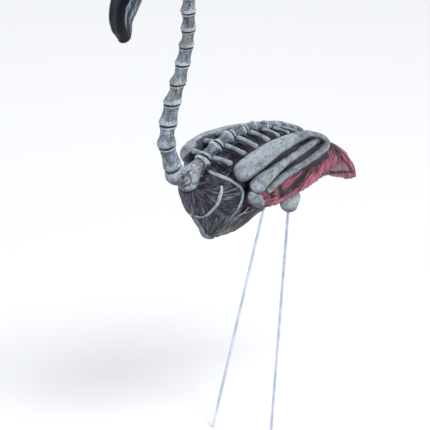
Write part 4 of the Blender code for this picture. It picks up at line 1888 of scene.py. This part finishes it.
def floor_material() -> bpy.types.Material:
    """Plain pale floor."""
    shade = Shader("studio_floor")
    return shade.finish((0.93, 0.93, 0.925), 0.95, specular=0.1)


# Pieces and studio


def bird(wires: Sequence[Wire]) -> bpy.types.Object:
    """The painted moulding, in place of the frame's figure.

    Args:
        wires: left and right stake.

    Returns:
        The finished piece.
    """
    materials = [BonePaint().material(), SkinPaint().material(), BillPaint().material()]
    trunk = Trunk()
    surfaces = [trunk.surface(), Skull().surface(), *Spine().surfaces(), *Ribs(trunk).surfaces()]
    for hand, wire in zip(Hand, wires):
        surfaces += [WingPanel().surface(hand), *WingBones().surfaces(hand)]
        surfaces.append(Hip().surface(hand, wire.direction))
    forms = [surface.build(number, materials) for number, surface in enumerate(surfaces, 1)]
    cutters = [Skull().socket(hand, materials) for hand in Hand]
    cutters += [socket_bore(wire, materials) for wire in wires]
    mesh = unite(forms, cutters)
    mesh.name = "flamingo_moulding"
    mesh.polygons.foreach_set("use_smooth", np.ones(len(mesh.polygons), bool))
    Skin(mesh).paint_vertices()
    LOG.info("moulding: %d faces, %d corners", len(mesh.polygons), len(mesh.loops))
    piece = placed("flamingo_moulding", mesh)
    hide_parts("flamingo_figure")
    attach(piece, "root")
    return piece


def stake(wire: Wire, material: bpy.types.Material) -> bpy.types.Object:
    """One finished stake in place of the frame's."""
    piece = wire.piece(material)
    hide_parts(wire.node)
    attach(piece, "root")
    return piece


@dataclass(frozen=True)
class Lamp:
    """Square area light.

    Attributes:
        name: the light's name.
        place: metres from the middle of the object to the picture's right, up and towards the camera.
        size: length of an edge in metres.
        power: power in watts.
        tone: colour.
    """

    name: str
    place: Triple
    size: float
    power: float
    tone: Triple

    def build(self, middle: Vector, right: Vector, forward: Vector) -> None:
        """Set the light up, turned towards the middle.

        Args:
            middle: middle of the object.
            right: direction to the picture's right.
            forward: level direction to the camera.
        """
        data = bpy.data.lights.new(self.name, "AREA")
        data.energy = self.power
        data.size = self.size
        data.color = self.tone
        made = placed(self.name, data)
        across, up, near = self.place
        made.location = middle + right * across + Vector((0, 0, up)) + forward * near
        made.rotation_euler = (middle - made.location).to_track_quat("-Z", "Y").to_euler()


@dataclass(frozen=True)
class Studio:
    """Floor, lights and camera.

    Attributes:
        azimuth: the camera stands this many degrees round from the bird's front towards its left.
        elevation: degrees that the camera looks down.
        distance: metres from the camera to the place that it looks at.
        sensor: width of the camera's sensor in millimetres.
        picture_modules: modules across the picture.
        aim_right: modules from the neck's root to the middle of the picture, to the right.
        aim_up: modules from the neck's root to the middle of the picture, upwards in the picture.
        middle: place that the lights are turned towards, in metres.
        reach: half width of the floor in metres.
        lamps: the lights.
        sky: colour of the light from all round.
        sky_strength: its strength.
    """

    azimuth: float = 42.2
    elevation: float = 22.0
    distance: float = 30.0
    sensor: float = 36.0
    picture_modules: float = 430.0
    aim_right: float = 27.0
    aim_up: float = -37.0
    middle: Triple = (0, 0, 0.6)
    reach: float = 14.0
    lamps: Sequence[Lamp] = (
        Lamp("key", (1.35, 2.5, 1.6), 1.3, 66, (1.0, 0.985, 0.965)),
        Lamp("fill", (-2.4, 1.2, 1.8), 1.6, 14, (0.84, 0.90, 1.0)),
        Lamp("rim", (-0.4, 2.5, -2.0), 1.6, 30, (0.92, 0.95, 1.0)),
    )
    sky: Triple = (0.93, 0.95, 1.0)
    sky_strength: float = 0.62

    def axes(self) -> tuple[Vector, Vector, Vector]:
        """Directions to the camera, to the picture's right and to its top."""
        azimuth, elevation = math.radians(self.azimuth), math.radians(self.elevation)
        level = Vector((math.sin(azimuth), -math.cos(azimuth), 0))
        towards = level * math.cos(elevation) + Vector((0, 0, math.sin(elevation)))
        right = Vector((0, 0, 1)).cross(towards).normalized()
        return towards, right, towards.cross(right)

    def camera(self) -> None:
        """Camera at the photograph's angle."""
        towards, right, upward = self.axes()
        unit = LAYOUT.module()
        root = Vector(LAYOUT.place(np.zeros(3)))
        aim = root + right * self.aim_right * unit + upward * self.aim_up * unit
        data = bpy.data.cameras.new("camera")
        data.sensor_width = self.sensor
        data.lens = self.sensor * self.distance / (self.picture_modules * unit)
        data.clip_end = 4 * self.distance
        data.dof.use_dof = False
        made = placed("camera", data)
        turn = Matrix((right, upward, towards)).transposed()
        made.matrix_world = Matrix.Translation(aim + towards * self.distance) @ turn.to_4x4()
        bpy.context.scene.camera = made

    def floor(self) -> None:
        """Level square of floor."""
        mesh = bpy.data.meshes.new("floor")
        corners = [(x * self.reach, y * self.reach, 0) for x, y in ((-1, -1), (1, -1), (1, 1), (-1, 1))]
        mesh.from_pydata(corners, [], [(0, 1, 2, 3)])
        mesh.materials.append(floor_material())
        placed("floor", mesh)

    def build(self) -> None:
        """Set everything up."""
        self.camera()
        self.floor()
        towards, right, _ = self.axes()
        forward = Vector((towards.x, towards.y, 0)).normalized()
        for lamp in self.lamps:
            lamp.build(Vector(self.middle), right, forward)
        world = bpy.data.worlds.new("studio")
        world.use_nodes = True
        backdrop = world.node_tree.nodes["Background"]
        backdrop.inputs["Color"].default_value = (*self.sky, 1.0)
        backdrop.inputs["Strength"].default_value = self.sky_strength
        bpy.context.scene.world = world
        bpy.context.scene.view_settings.view_transform = "Standard"


def main() -> None:
    """Build every piece and the studio."""
    logging.basicConfig(level=logging.INFO, format="%(message)s")
    wires = [Wire.read("left_stake"), Wire.read("right_stake")]
    bird(wires)
    steel = steel_material()
    for wire in wires:
        stake(wire, steel)
    Studio().build()


if __name__ == "__main__":
    main()
